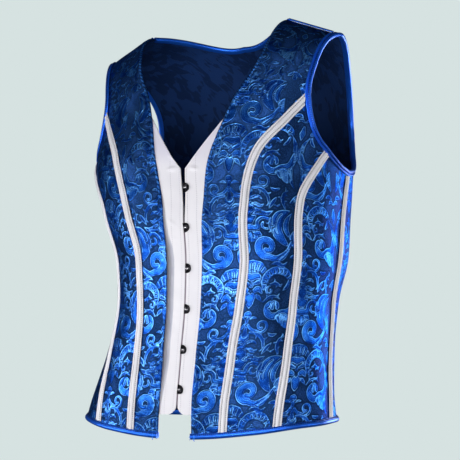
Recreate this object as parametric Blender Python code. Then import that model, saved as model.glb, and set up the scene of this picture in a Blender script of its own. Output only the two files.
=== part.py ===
"""Corset vest: blue damask vest in its worn form, with a white satin busk front and boning channels.

Metres, +Z up, the front faces -Y and the wearer's left is at +X.
The origin lies midway between the two shoulder seams, at the height of their undersides.
Every cut piece is a wall on one worn form, a smooth table of sections from the hem to the shoulder.
"""
import math
from collections import namedtuple

import bmesh
import bpy
import numpy as np

WALL = 0.0015            # brocade with its interlining
SEAM = 0.0003            # clear gap between neighbouring pieces
LIFT = 0.0003            # what lies on the cloth stands this far off it
UNDER = 0.0020           # placket's face below the brocade's face

# Worn form in millimetres: level below the shoulder's neck end, half width, depth in front and behind,
# and where the section's centre stands. The hips lean to the wearer's right.
Section = namedtuple("Section", "level half_width front back centre_x centre_y")
FORM = [
    Section(0, 178, 120, 118, 3, -4),
    Section(-60, 171, 120, 118, 2, 5),
    Section(-120, 165, 124, 118, -3, 11),
    Section(-170, 164, 127, 115, -8, 9),
    Section(-230, 155, 128, 111, -1, 3),
    Section(-290, 143, 125, 104, 9, -2),
    Section(-340, 137, 116, 100, 5, -6),
    Section(-400, 144, 104, 100, -6, -9),
    Section(-450, 155, 95, 102, -17, -9),
    Section(-500, 167, 90, 107, -25, -5),
]
ROUNDNESS = 2.35         # power of the rounded section, 2 is an ellipse
BUST = -0.170            # level from which the cloth leans in towards the shoulder seam

# Shoulder seam: distances from the middle and its slope.
NECK_X, TIP_X = 0.093, 0.157
SHOULDER_MIDDLE = 0.004
SLOPE, SIDE_TILT, NECK_RISE = 0.39, 0.055, 0.16
NECK_Y, TIP_Y = -0.031, -0.018

# Seams: level in mm and angle round the body in degrees, 0 at the centre front, 180 at the centre back.
Stitch = namedtuple("Stitch", "level angle")
PRINCESS = [Stitch(-88, 60.4), Stitch(-120, 51.5), Stitch(-160, 40.6), Stitch(-210, 34.9),
            Stitch(-280, 31.3), Stitch(-370, 32.0), Stitch(-440, 34.4), Stitch(-505, 36.0)]
SIDE_FRONT = [Stitch(-155, 74.2), Stitch(-170, 69.7), Stitch(-220, 58.2), Stitch(-280, 56.0),
              Stitch(-370, 58.9), Stitch(-440, 60.5), Stitch(-505, 59.8)]
SIDE = [Stitch(-178, 92.0), Stitch(-230, 89.8), Stitch(-280, 88.6), Stitch(-370, 93.4),
        Stitch(-440, 93.4), Stitch(-505, 88.4)]
BACK_SEAM_FOOT = 121.0   # angle of the plain back princess seam at the hem, it ends in the armhole's back corner
TURN = math.radians(1.2)  # the side-front seams sit this far round to the wearer's left
# Hem level by angle.
HEM = [Stitch(-498.5, 0), Stitch(-498, 14), Stitch(-496.5, 28.6), Stitch(-491, 51.6), Stitch(-482.5, 74.5),
       Stitch(-480, 97.4), Stitch(-482, 130), Stitch(-484, 180)]
# Armhole's edge, from the shoulder tip in front, under the arm and up the back.
ARM_FRONT = [Stitch(-20, 62.9), Stitch(-45, 61.3), Stitch(-75, 60.1), Stitch(-88, 60.4)]
ARM_FIRST = [Stitch(-88, 60.4), Stitch(-105, 61.8), Stitch(-125, 64.4), Stitch(-142, 68.6), Stitch(-155, 74.2)]
ARM_SECOND = [Stitch(-155, 74.2), Stitch(-165, 79.2), Stitch(-173, 85.0), Stitch(-178, 92.0)]
ARM_THIRD = [Stitch(-178, 92.0), Stitch(-176, 99), Stitch(-167, 106.5), Stitch(-152, 112.8), Stitch(-133, 117)]
ARM_BACK = [Stitch(-133, 117), Stitch(-108, 119.3), Stitch(-80, 120), Stitch(-45, 118.5), Stitch(-20, 116)]

# Front edges: level and distance of the brocade's edge from the front's middle line, in mm.
Edge = namedtuple("Edge", "level out")
FRONT_EDGE = [Edge(0, 92), Edge(-50, 80), Edge(-100, 55.6), Edge(-140, 42.6), Edge(-180, 32.4), Edge(-230, 26.4),
              Edge(-290, 23.6), Edge(-370, 22.6), Edge(-440, 21.6), Edge(-505, 22.6)]
MIDDLE = [Edge(0, 1.8), Edge(-100, 2), Edge(-200, 4), Edge(-290, -4.5), Edge(-370, -4), Edge(-440, -2),
          Edge(-505, 0)]
V_EDGE = [Edge(-84, 66), Edge(-90, 62.6), Edge(-120, 46.6), Edge(-150, 25.5), Edge(-178, 3.0)]
BUSK_SHIFT = 0.0018      # busk line beside the front's middle line, to the wearer's left
BACK_NECK_DROP = 0.026   # back neckline's middle below the neck ends

# Busk.
FIRST_STUD, STUD_PITCH, STUDS = -0.2013, 0.0478, 6
PLACKET_FOOT = -0.4715   # lower end, above the hem
PLACKET_MARGIN = 0.012   # hidden part under the brocade
TOP_GAP = 0.0040         # the plackets part this far at the top

SEAM_ROWS = 18
SEAM_CROWD = 1.2         # rows draw closer towards the armhole, where the seams bend
ARM_ROWS = 13
FRONT_COLUMNS, SHOULDER_COLUMNS, NECK_COLUMNS = 6, 6, 6
PANEL_COLUMNS = 4


def smooth(rows, column, level="level"):
    """A monotone cubic through one column of a table, in the table's own units."""
    x = np.array([getattr(r, level) for r in rows], float)
    y = np.array([getattr(r, column) for r in rows], float)
    order = np.argsort(x)
    x, y = x[order], y[order]
    h = np.diff(x)
    d = np.diff(y) / h
    m = np.zeros_like(y)
    m[0], m[-1] = d[0], d[-1]
    for i in range(1, len(x) - 1):
        if d[i - 1] * d[i] > 0:
            w1, w2 = 2 * h[i] + h[i - 1], h[i] + 2 * h[i - 1]
            m[i] = (w1 + w2) / (w1 / d[i - 1] + w2 / d[i])

    def value(q):
        q = np.clip(np.asarray(q, float), x[0], x[-1])
        i = np.clip(np.searchsorted(x, q) - 1, 0, len(x) - 2)
        t = (q - x[i]) / h[i]
        return ((1 + 2 * t) * (1 - t) ** 2 * y[i] + t * (1 - t) ** 2 * h[i] * m[i]
                + t * t * (3 - 2 * t) * y[i + 1] + t * t * (t - 1) * h[i] * m[i + 1])

    return value


SECTION = {name: smooth(FORM, name) for name in Section._fields[1:]}


def level_of(rise):
    """Nominal level in metres of a height measured up the cloth from the bust line."""
    rise = np.asarray(rise, float)
    return np.where(rise < 0, BUST + rise, BUST * (1 - np.sin(np.maximum(rise, 0) / -BUST)))


def rise_of(level):
    """Height up the cloth from the bust line for a nominal level in metres."""
    level = np.asarray(level, float)
    up = np.clip((level - BUST) / -BUST, 0, 1)
    return np.where(level < BUST, level - BUST, -BUST * np.arcsin(up))


TOP = float(rise_of(0.0))


def form_at(level):
    mm = np.asarray(level) * 1000
    return [SECTION[n](mm) / 1000 for n in Section._fields[1:]]


def shoulder_line(x):
    """Height and depth of the shoulder seam's line over x."""
    out = np.abs(x - SHOULDER_MIDDLE)
    z = np.where(out > NECK_X, -(out - NECK_X) * SLOPE, (NECK_X - out) * NECK_RISE)
    part = (out - NECK_X) / (TIP_X - NECK_X)
    return z + SIDE_TILT * (x - SHOULDER_MIDDLE), NECK_Y + (TIP_Y - NECK_Y) * part


def worn(angle, rise):
    """Outer face of the worn form, before the origin is set."""
    level = level_of(rise)
    half, front, back, cx, cy = form_at(level)
    c, s = np.cos(angle), np.sin(angle)
    depth = np.where(c > 0, front, back)
    r = ((np.abs(s) / half) ** ROUNDNESS + (np.abs(c) / depth) ** ROUNDNESS) ** (-1 / ROUNDNESS)
    x, y = cx + r * s, cy - r * c
    seam_z, seam_y = shoulder_line(x)
    up = np.asarray(rise) > 0
    climb = (level - BUST) / -BUST
    lean = np.cos(np.maximum(rise, 0) / -BUST)
    z = np.where(up, BUST + (seam_z - BUST) * climb, level)
    y = np.where(up, seam_y + (y - seam_y) * lean, y)
    return np.stack([x, y, z + 0 * x], axis=-1)


def shoulder_middle(side):
    x = SHOULDER_MIDDLE + side * (NECK_X + TIP_X) / 2
    z, y = shoulder_line(np.array(x))
    return np.array([x, float(y), float(z) - WALL])


ORIGIN = (shoulder_middle(1) + shoulder_middle(-1)) / 2


def surface(angle, rise):
    return worn(np.asarray(angle, float), np.asarray(rise, float)) - ORIGIN


def unit(v):
    return v / np.linalg.norm(v, axis=-1, keepdims=True)


def normals(angle, rise):
    e = 1e-4
    du = surface(angle + e, rise) - surface(angle - e, rise)
    dv = surface(angle, rise + e) - surface(angle, rise - e)
    return unit(np.cross(du, dv))


def angle_at(x, level, behind=False):
    """Angle of the point that lies x to the side of the section's centre."""
    half, front, back, cx, cy = form_at(level)
    q = np.clip(np.abs(x) / half, 0, 0.9995)
    depth = (back if behind else front) * (1 - q ** ROUNDNESS) ** (1 / ROUNDNESS)
    a = np.arctan2(np.abs(x), depth)
    return np.sign(x) * np.where(behind, math.pi - a, a)


MIDDLE_AT = smooth(MIDDLE, "out")
EDGE_AT = smooth(FRONT_EDGE, "out")
V_AT = smooth(V_EDGE, "out")
HEM_AT = smooth(HEM, "level", "angle")


def hem_rise(angle):
    return rise_of(HEM_AT(np.degrees(np.abs(angle))) / 1000)


def front_edge(side, level):
    mm = np.asarray(level) * 1000
    return (MIDDLE_AT(mm) + side * EDGE_AT(mm)) / 1000


def busk_line(level):
    return MIDDLE_AT(np.asarray(level) * 1000) / 1000 + BUSK_SHIFT


def spaced(a, b, n):
    return np.linspace(a, b, n + 1)


def seam_curve(table, n, turn, side):
    """Angles and rises up one seam, from the hem to its top end, for one side of the body."""
    at = smooth(table, "angle")
    foot = 0.0
    for _ in range(4):
        angle = math.radians(float(at(foot))) if foot else math.radians(table[-1].angle)
        foot = float(HEM_AT(math.degrees(angle)))
    rises = spaced(float(rise_of(foot / 1000)), float(rise_of(table[0].level / 1000)), 400)
    angles = np.radians(at(level_of(rises) * 1000))
    run = np.concatenate([[0], np.cumsum(np.hypot(np.diff(angles) * 0.16, np.diff(rises)))])
    rises = np.interp(run[-1] * (1 - (1 - spaced(0, 1, n)) ** SEAM_CROWD), run, rises)
    angles = np.radians(at(level_of(rises) * 1000))
    fade = np.clip((TOP_FADE - rises) / 0.06, 0, 1)
    return angles + side * turn * fade, rises


TOP_FADE = float(rise_of(-0.155))


def edge_curve(rows, n):
    """Points along an edge given as a short list of stitches, evenly spaced by length."""
    a = np.radians([r.angle for r in rows])
    h = rise_of(np.array([r.level for r in rows]) / 1000)
    step = np.hypot(np.diff(a) * 0.16, np.diff(h))
    run = np.concatenate([[0], np.cumsum(step)])
    knots = [namedtuple("Knot", "level a h")(s, x, y) for s, x, y in zip(run, a, h)]
    t = np.linspace(0, run[-1], n + 1)
    return smooth(knots, "a")(t), smooth(knots, "h")(t)


def shoulder_x(side):
    return SHOULDER_MIDDLE + side * spaced(NECK_X, TIP_X, SHOULDER_COLUMNS)


def shoulder_curve(side, behind):
    """Shoulder seam from the neck to the tip, as unsigned angles."""
    x = shoulder_x(side)
    cx = form_at(0.0)[3]
    return np.abs(angle_at(x - cx, 0.0, behind)), np.full(len(x), TOP)


def coons(left, right, bottom, top):
    """Fill a four-sided region: rows run up, columns run round the body."""
    left, right = np.stack(left, -1), np.stack(right, -1)
    bottom, top = np.stack(bottom, -1), np.stack(top, -1)
    v = np.linspace(0, 1, len(left))[:, None, None]
    u = np.linspace(0, 1, len(bottom))[None, :, None]
    grid = (1 - u) * left[:, None] + u * right[:, None] + (1 - v) * bottom[None] + v * top[None]
    corners = ((1 - u) * (1 - v) * left[0] + u * (1 - v) * right[0]
               + (1 - u) * v * left[-1] + u * v * right[-1])
    return grid - corners


def hem_between(a, b, n):
    angles = spaced(float(a), float(b), n)
    return angles, hem_rise(angles)


def trimmed(grid, side, gap):
    """Draw one side of a grid in by a gap measured square to that side."""
    order = {"left": (0, 1), "right": (-1, -2), "bottom": (0, 1), "top": (-1, -2)}[side]
    g = grid if side in ("left", "right") else grid.transpose(1, 0, 2)
    g = g.copy()
    edge, inner = g[:, order[0]], g[:, order[1]]
    p, q = surface(edge[..., 0], edge[..., 1]), surface(inner[..., 0], inner[..., 1])
    along = unit(np.gradient(p, axis=0))
    across = q - p
    square = np.linalg.norm(across - along * (across * along).sum(-1, keepdims=True), axis=-1)
    g[:, order[0]] = edge + (inner - edge) * (gap / square)[:, None]
    return g if side in ("left", "right") else g.transpose(1, 0, 2)


def mirrored(grid, side):
    """Turn unsigned angles into the signed ones of one side, columns always to the wearer's left."""
    grid = grid.copy()
    grid[..., 0] *= side
    return grid if side > 0 else grid[:, ::-1]


def panels(side):
    """Angle and rise grids of the four brocade panels of one side, unsigned, before seam gaps."""
    princess = seam_curve(PRINCESS, SEAM_ROWS, 0.0, side)
    side_front = seam_curve(SIDE_FRONT, SEAM_ROWS, TURN, side)
    side_seam = seam_curve(SIDE, SEAM_ROWS, 0.0, side)
    tip_front, tip_back = shoulder_curve(side, False), shoulder_curve(side, True)

    front_rows = [Stitch(0, math.degrees(tip_front[0][-1]))] + ARM_FRONT
    arm = edge_curve(front_rows, ARM_ROWS)
    arm = arm[0][::-1], arm[1][::-1]
    right = np.concatenate([princess[0], arm[0][1:]]), np.concatenate([princess[1], arm[1][1:]])
    foot = float(hem_rise(0.1))
    seam_part = (princess[1] - princess[1][0]) / (princess[1][-1] - princess[1][0])
    rises = np.concatenate([foot + (princess[1][-1] - foot) * seam_part,
                            spaced(princess[1][-1], TOP, ARM_ROWS)[1:]])
    levels = level_of(rises)
    edge = np.abs(angle_at(front_edge(side, levels), levels))
    edge[-1] = tip_front[0][0]
    bottom = hem_between(edge[0], princess[0][0], FRONT_COLUMNS)
    front = coons((edge, rises), right, bottom, tip_front)

    first = edge_curve(ARM_FIRST, PANEL_COLUMNS)
    second = edge_curve(ARM_SECOND, PANEL_COLUMNS)
    foot_one = hem_between(princess[0][0], side_front[0][0], PANEL_COLUMNS)
    foot_two = hem_between(side_front[0][0], side_seam[0][0], PANEL_COLUMNS)
    sidefront = coons(princess, side_front, foot_one, first)
    sidepanel = coons(side_front, side_seam, foot_two, second)

    # A plain princess seam from the armhole's back corner parts the side back from the back.
    third = edge_curve(ARM_THIRD, PANEL_COLUMNS)
    corner, bust = third[0][-1], third[1][-1]
    columns = SHOULDER_COLUMNS + NECK_COLUMNS
    seam_foot = math.radians(BACK_SEAM_FOOT)
    foot = hem_between(side_seam[0][0], seam_foot, PANEL_COLUMNS)
    wide = hem_between(seam_foot, math.pi, columns)
    part = (side_seam[1] - side_seam[1][0]) / (side_seam[1][-1] - side_seam[1][0])
    back_seam = seam_foot + (corner - seam_foot) * part, foot[1][-1] + (bust - foot[1][-1]) * part
    side_back = coons(side_seam, back_seam, foot, third)

    back_rows = ARM_BACK + [Stitch(0, math.degrees(tip_back[0][-1]))]
    up = edge_curve(back_rows, ARM_ROWS)
    neck_end = float(rise_of(-BACK_NECK_DROP))
    across = spaced(0, 1, NECK_COLUMNS)[1:]
    neck_angle = tip_back[0][0] + (math.pi - tip_back[0][0]) * across
    neck_rise = TOP + (neck_end - TOP) * np.sin(across * math.pi / 2) ** 0.8
    top = (np.concatenate([tip_back[0][::-1], neck_angle]), np.concatenate([tip_back[1], neck_rise]))
    yoke = spaced(corner, math.pi, columns)
    yoke_line = yoke, np.full(columns + 1, bust)
    beyond = np.full(ARM_ROWS + 1, math.pi), spaced(bust, neck_end, ARM_ROWS)
    upper = coons(up, beyond, yoke_line, top)
    centre = np.full(SEAM_ROWS + 1, math.pi), wide[1][-1] + (bust - wide[1][-1]) * part
    lower = coons(back_seam, centre, wide, yoke_line)
    back = np.concatenate([lower, upper[1:]])
    return {"front": front, "side_front": sidefront, "side": sidepanel, "side_back": side_back, "back": back,
            "seams": {"princess": princess, "side_front": side_front, "side": side_seam}}


def solid(name, points, faces):
    """One closed object from its points and faces, every face turned outwards."""
    mesh = bpy.data.meshes.new(name)
    mesh.from_pydata([tuple(p) for p in points], [], faces)
    work = bmesh.new()
    work.from_mesh(mesh)
    bmesh.ops.triangulate(work, faces=work.faces[:])
    bmesh.ops.recalc_face_normals(work, faces=work.faces[:])
    work.to_mesh(mesh)
    work.free()
    thing = bpy.data.objects.new(name, mesh)
    bpy.context.scene.collection.objects.link(thing)
    return thing


def walled(name, outer, inner):
    """A wall between two grids of points that share rows and columns."""
    rows, cols = outer.shape[:2]
    size = rows * cols
    points = np.concatenate([outer.reshape(-1, 3), inner.reshape(-1, 3)])
    faces = []
    for i in range(rows - 1):
        for j in range(cols - 1):
            a, b = i * cols + j, i * cols + j + 1
            c, d = b + cols, a + cols
            faces.append((a, b, c, d))
            faces.append((size + d, size + c, size + b, size + a))
    rim = [(0, j) for j in range(cols)] + [(i, cols - 1) for i in range(1, rows)]
    rim += [(rows - 1, j) for j in range(cols - 2, -1, -1)] + [(i, 0) for i in range(rows - 2, 0, -1)]
    for (i, j), (k, n) in zip(rim, rim[1:] + rim[:1]):
        a, b = i * cols + j, k * cols + n
        faces.append((b, a, size + a, size + b))
    return solid(name, points, faces)


def swept(name, rings, closed=False):
    """A closed body through rings of points, capped at its ends or joined round."""
    rings = np.asarray(rings)
    count, size = rings.shape[:2]
    faces = []
    last = count if closed else count - 1
    for i in range(last):
        k = (i + 1) % count
        for j in range(size):
            n = (j + 1) % size
            faces.append((i * size + j, i * size + n, k * size + n, k * size + j))
    if not closed:
        faces.append(tuple(range(size))[::-1])
        faces.append(tuple((count - 1) * size + j for j in range(size)))
    return solid(name, rings.reshape(-1, 3), faces)


def brocade_panel(name, grid, side, gaps):
    for which in gaps:
        grid = trimmed(grid, which, SEAM / 2)
    grid = mirrored(grid, side)
    outer = surface(grid[..., 0], grid[..., 1])
    inner = outer - WALL * normals(grid[..., 0], grid[..., 1])
    return walled(name, outer, inner)


def frames(edge, inner, outward, closed=False):
    """Along, outward and inward directions at the points of a cloth's edge."""
    if closed:
        along = unit(np.roll(edge, -1, 0) - np.roll(edge, 1, 0))
    else:
        along = unit(np.gradient(edge, axis=0))
    across = inner - edge
    across = unit(across - along * (across * along).sum(-1, keepdims=True))
    out = unit(np.cross(along, across))
    turn = np.sign((out * outward).sum(-1, keepdims=True))
    return along, out * turn, across


def bound(name, edge, inner, outward, profile, closed=False):
    """A binding folded over a cloth's edge: profile points are millimetres out of and up the cloth."""
    along, out, across = frames(edge, inner, outward, closed)
    rings = [[e + o * n / 1000 + a * s / 1000 for n, s in profile] for e, o, a in zip(edge, out, across)]
    return swept(name, rings, closed)


# Profiles in mm: out of the cloth's face, and up the cloth from its edge.
HEM_PROFILE = [(0.5, 4.6), (1.4, 4.6), (1.6, 3.6), (2.7, 1.8), (2.1, -1.2), (-0.6, -2.2), (-3.3, -0.8),
               (-3.5, 4.2), (-2.5, 4.2), (-1.8, -0.3), (0.3, -0.3)]
ARM_PROFILE = [(0.95, 8.6), (1.9, 8.6), (1.7, 6.4), (2.6, 4.4), (2.7, 1.2), (0.6, -1.9), (-2.2, -1.9),
               (-3.4, 1.2), (-3.6, 4.6), (-2.6, 4.6), (-1.8, -0.3), (0.4, -0.3)]
NECK_PROFILE = [(1.0, 4.4), (2.0, 4.4), (2.4, 1.6), (0.8, -1.6), (-2.0, -1.8), (-3.3, 0.4), (-3.6, 4.2),
                (-2.6, 4.2), (-1.8, -0.3), (0.3, -0.3)]
# Channel: across the seam, and up from the cloth.
CHANNEL_PROFILE = [(-6.0, 0.55), (-6.0, 1.3), (-3.2, 1.5), (-2.2, 2.4), (0.0, 2.8), (2.2, 2.4), (3.2, 1.5),
                   (6.0, 1.3), (6.0, 0.55), (0.0, 0.35)]
PIPING_PROFILE = [(-2.0, 0.3), (-1.7, 1.6), (0.0, 2.4), (1.7, 1.6), (2.0, 0.3)]


def channel(points, outward, ends):
    """A boning channel over a seam, each end cut along the binding that holds it.

    ends holds, for the foot and the head, the binding's direction and the clear distance to it.
    """
    along = unit(np.gradient(points, axis=0))
    across = unit(np.cross(along, outward))
    out = unit(np.cross(across, along))
    out = out * np.sign((out * outward).sum(-1, keepdims=True))
    rings = np.array([[p + a * c / 1000 + o * h / 1000 for c, h in CHANNEL_PROFILE]
                      for p, a, o in zip(points, across, out)])
    for line, clear in ends:
        square = unit(np.cross(out[0], line))
        square = square * np.sign((square * along[0]).sum())
        past = ((rings - points[0]) * square).sum(-1) - clear
        cut = []
        for k in range(rings.shape[1]):
            i = int(np.argmax(past[:, k] > 0))
            i = max(i, 1)
            t = past[i - 1, k] / (past[i - 1, k] - past[i, k])
            cut.append(rings[i - 1, k] + (rings[i, k] - rings[i - 1, k]) * t)
        clear_of_cut = past.min(axis=1) > 0.002
        rings = np.concatenate([[cut], rings[clear_of_cut]])[::-1]
        points, along, out = points[::-1], -along[::-1], out[::-1]
    return rings


def main():
    for thing in list(bpy.data.objects):
        bpy.data.objects.remove(thing)

    for side, tag in ((1, "left"), (-1, "right")):
        set_ = panels(side)
        brocade_panel(f"front_{tag}", set_["front"], side, ["right", "top"])
        brocade_panel(f"side_front_{tag}", set_["side_front"], side, ["left", "right"])
        brocade_panel(f"side_{tag}", set_["side"], side, ["left", "right"])
        brocade_panel(f"side_back_{tag}", set_["side_back"], side, ["left", "right"])
        brocade_panel(f"back_{tag}", trimmed_back(set_["back"]), side, ["left", "right"])
        edgings(set_, side, tag)
    hem_bindings()
    back_neck()
    placket_pair()
    busk()


def trimmed_back(grid):
    """The back gives way to the front along the shoulder seam."""
    grid = grid.copy()
    shoulder = slice(0, SHOULDER_COLUMNS + 1)
    grid[SEAM_ROWS:, shoulder] = trimmed(grid[SEAM_ROWS:, shoulder], "top", SEAM / 2)
    return grid


def placed(grid, side):
    """Points of a grid of unsigned angles, on one side of the body."""
    return surface(side * grid[..., 0], grid[..., 1])


def edgings(set_, side, tag):
    """Armhole binding, shoulder piping and the boning channels of one side."""
    front, one, two, three, back = (set_[n] for n in ("front", "side_front", "side", "side_back", "back"))
    n, c = SEAM_ROWS, PANEL_COLUMNS
    arm = np.concatenate([front[:n - 1:-1, -1], one[-1, 1:], two[-1, 1:], three[-1, 1:], back[n + 1:-1, 0]])
    inner = np.concatenate([front[:n - 1:-1, -2], one[-2, 1:], two[-2, 1:], three[-2, 1:], back[n + 1:-1, 1]])
    points, inside = placed(arm, side), placed(inner, side)
    first = ARM_ROWS
    corner = first + 3 * c
    inside[0] = (placed(front[-1, -2], side) + placed(back[-1, 1], side)) / 2
    inside[first] = (placed(front[n, -2], side) + placed(one[-2, 0], side)) / 2
    inside[corner] = (placed(three[-2, -1], side) + placed(back[n, 1], side)) / 2
    bound(f"armhole_binding_{tag}", points, inside, normals(side * arm[:, 0], arm[:, 1]), ARM_PROFILE, True)

    seam = front[-1]
    ridge = placed(seam, side)
    along = unit(np.gradient(ridge, axis=0))
    ridge[0] += along[0] * 0.0008
    ridge[-1] -= along[-1] * 0.0106
    up = normals(side * seam[:, 0], seam[:, 1])
    across = unit(np.cross(along, up))
    swept(f"shoulder_piping_{tag}", [[p + a * w / 1000 + u * h / 1000 for w, h in PIPING_PROFILE]
                                     for p, a, u in zip(ridge, across, up)])

    heads = {"princess": (front[n + 1, -1], one[-1, 1]), "side_front": (one[-1, -2], two[-1, 1]),
             "side": (two[-1, -2], three[-1, 1])}
    for name, head in heads.items():
        curve = np.stack(set_["seams"][name], -1)
        out = normals(side * curve[:, 0], curve[:, 1])
        beside = curve[0, 0] + np.array([-0.05, 0.05])
        hem_line = np.diff(surface(side * beside, hem_rise(beside)), axis=0)[0]
        head_line = placed(head[1], side) - placed(head[0], side)
        rings = channel(placed(curve, side), out, ((unit(hem_line), 0.0056), (unit(head_line), 0.0096)))
        swept(f"channel_{name}_{tag}", rings)


def across_back(pick):
    """Join an edge of the wearer's left with its counterpart on the right, meeting at the centre back."""
    parts = []
    for side in (1, -1):
        edge, inner = pick(panels(side))
        points, inside = placed(edge, side), placed(inner, side)
        out = normals(side * edge[:, 0], edge[:, 1])
        parts.append([points, inside, out] if side > 0 else [points[-2::-1], inside[-2::-1], out[-2::-1]])
    return [np.concatenate(pair) for pair in zip(*parts)], len(parts[0][0]) - 1


def hem_edge(set_):
    grids = [set_[n] for n in ("front", "side_front", "side", "side_back", "back")]
    edge = np.concatenate([g[0, (0 if i == 0 else 1):] for i, g in enumerate(grids)])
    return edge, np.concatenate([g[1, (0 if i == 0 else 1):] for i, g in enumerate(grids)])


def neck_edge(set_):
    return set_["back"][-1, SHOULDER_COLUMNS:], set_["back"][-2, SHOULDER_COLUMNS:]


def hem_bindings():
    """Hem binding from the front edge to the centre back, on each side."""
    (edge, inner, outward), middle = across_back(hem_edge)
    along, out, across = frames(edge, inner, outward)
    rings = np.array([[e + o * n / 1000 + a * s / 1000 for n, s in HEM_PROFILE]
                      for e, o, a in zip(edge, out, across)])
    left, right = rings[:middle + 1].copy(), rings[middle:].copy()
    left[-1] -= along[middle] * SEAM / 2
    right[0] += along[middle] * SEAM / 2
    swept("hem_binding_left", left)
    swept("hem_binding_right", right)


def back_neck():
    """Binding of the back neckline, from just behind one shoulder seam to the other."""
    (edge, inner, outward), middle = across_back(neck_edge)
    for end, step in ((0, 1), (-1, -2)):
        start = unit(edge[step] - edge[end]) * 0.0032
        edge[end] += start
        inner[end] += start
    bound("back_neck_binding", edge, inner, outward, NECK_PROFILE)


def placket_grid(side):
    """Angles and rises of one busk placket, from the busk line to its hidden margin."""
    levels = spaced(PLACKET_FOOT, -0.178, 13)
    rises = rise_of(levels)
    busk_x = busk_line(levels) + side * SEAM / 2
    opening = np.clip((levels + 0.262) / (-0.178 + 0.262), 0, 1) ** 1.6 * (TOP_GAP / 2)
    busk_x = busk_x + side * opening
    under_top = -0.0865
    outer_levels = spaced(PLACKET_FOOT, under_top, 13)
    outer_x = front_edge(side, outer_levels) + side * PLACKET_MARGIN
    v_part = spaced(0, 1, 5)
    v_levels = levels[-1] + (under_top - levels[-1]) * v_part
    start, end = busk_x[-1], outer_x[-1]
    v_x = MIDDLE_AT(v_levels * 1000) / 1000 + side * V_AT(v_levels * 1000) / 1000
    v_x = v_x + (start - v_x[0]) * (1 - v_part) + (end - v_x[-1]) * v_part ** 4
    foot_x = spaced(busk_x[0], outer_x[0], 5)
    foot_levels = np.full(6, PLACKET_FOOT)
    foot_levels[0] += 0.0125
    foot_levels[1] += 0.0015
    levels = levels.copy()
    levels[0] = foot_levels[0]
    left = np.stack([busk_x, levels], -1)
    right = np.stack([outer_x, outer_levels], -1)
    bottom = np.stack([foot_x, foot_levels], -1)
    top = np.stack([v_x, v_levels], -1)
    grid = coons(left.T, right.T, bottom.T, top.T)
    if side < 0:
        grid = grid[:, ::-1]
    return angle_at(grid[..., 0], grid[..., 1]), rise_of(grid[..., 1])


def placket_pair():
    for side, tag in ((1, "left"), (-1, "right")):
        angle, rise = placket_grid(side)
        out = normals(angle, rise)
        face = surface(angle, rise) - UNDER * out
        walled(f"placket_{tag}", face, face - 0.0016 * out)


def busk_place(level):
    """Point on the plackets' face at the busk line, with the directions out, up and to the wearer's left."""
    angle = angle_at(busk_line(level), level)
    rise = rise_of(level)
    out = normals(angle, rise)
    up = surface(angle, rise + 0.001) - surface(angle, rise - 0.001)
    up = unit(up - out * (up * out).sum())
    return surface(angle, rise) - UNDER * out, out, up, unit(np.cross(up, out))


def busk():
    """Six wire loops from the wearer's right placket, each over a stud on the left one."""
    for k in range(STUDS):
        place, out, up, left = busk_place(FIRST_STUD - k * STUD_PITCH)
        if (left * np.array([1, 0, 0])).sum() < 0:
            left = -left
        turns = np.linspace(0, 2 * math.pi, 17)[:-1]
        reach, half = 0.0090, 0.0061
        outline, hole = [], []
        for t in turns:
            c, s = math.cos(t), math.sin(t)
            x = reach * max(c, 0) ** 0.9 if c > 0 else 0.0032 * c
            outline.append((x, half * math.copysign(abs(s) ** 0.8, s)))
            hole.append((0.0046 + 0.0024 * c, 0.0024 * s))
        rings = []
        for points, height in ((outline, 0.0004), (outline, 0.0016), (hole, 0.0016), (hole, 0.0004)):
            rings.append([place + left * x + up * y + out * height for x, y in points])
        rings = np.array(rings).transpose(1, 0, 2)
        swept(f"busk_loop_{k + 1}", rings, True)

        stem = [(0.0019, 0.0004), (0.0019, 0.0019), (0.0034, 0.0020), (0.0033, 0.0029), (0.0019, 0.0037)]
        count = 12
        points, faces = [], []
        centre = place + left * 0.0046
        for r, h in stem:
            for j in range(count):
                t = 2 * math.pi * j / count
                points.append(centre + left * r * math.cos(t) + up * r * math.sin(t) + out * h)
        for i in range(len(stem) - 1):
            for j in range(count):
                n = (j + 1) % count
                faces.append((i * count + j, i * count + n, (i + 1) * count + n, (i + 1) * count + j))
        faces.append(tuple(range(count))[::-1])
        faces.append(tuple((len(stem) - 1) * count + j for j in range(count)))
        solid(f"busk_stud_{k + 1}", points, faces)


main()
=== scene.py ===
# %% [markdown]
# # A corset vest in blue damask and white satin
#
# This lesson dresses a packed vest: the solids say where every cut piece lies, and each cell gives one
# piece or one finish its real surface. A corset vest is sewn from shaped panels. Flat bones stand in
# white channels over the seams, a busk closes the front with loops over studs, and satin strips bind
# the raw edges. Nearly everything follows one worn form, so the form comes before the pieces.

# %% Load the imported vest
import math
from collections import namedtuple

import bpy
import numpy as np
from mathutils import Matrix


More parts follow.
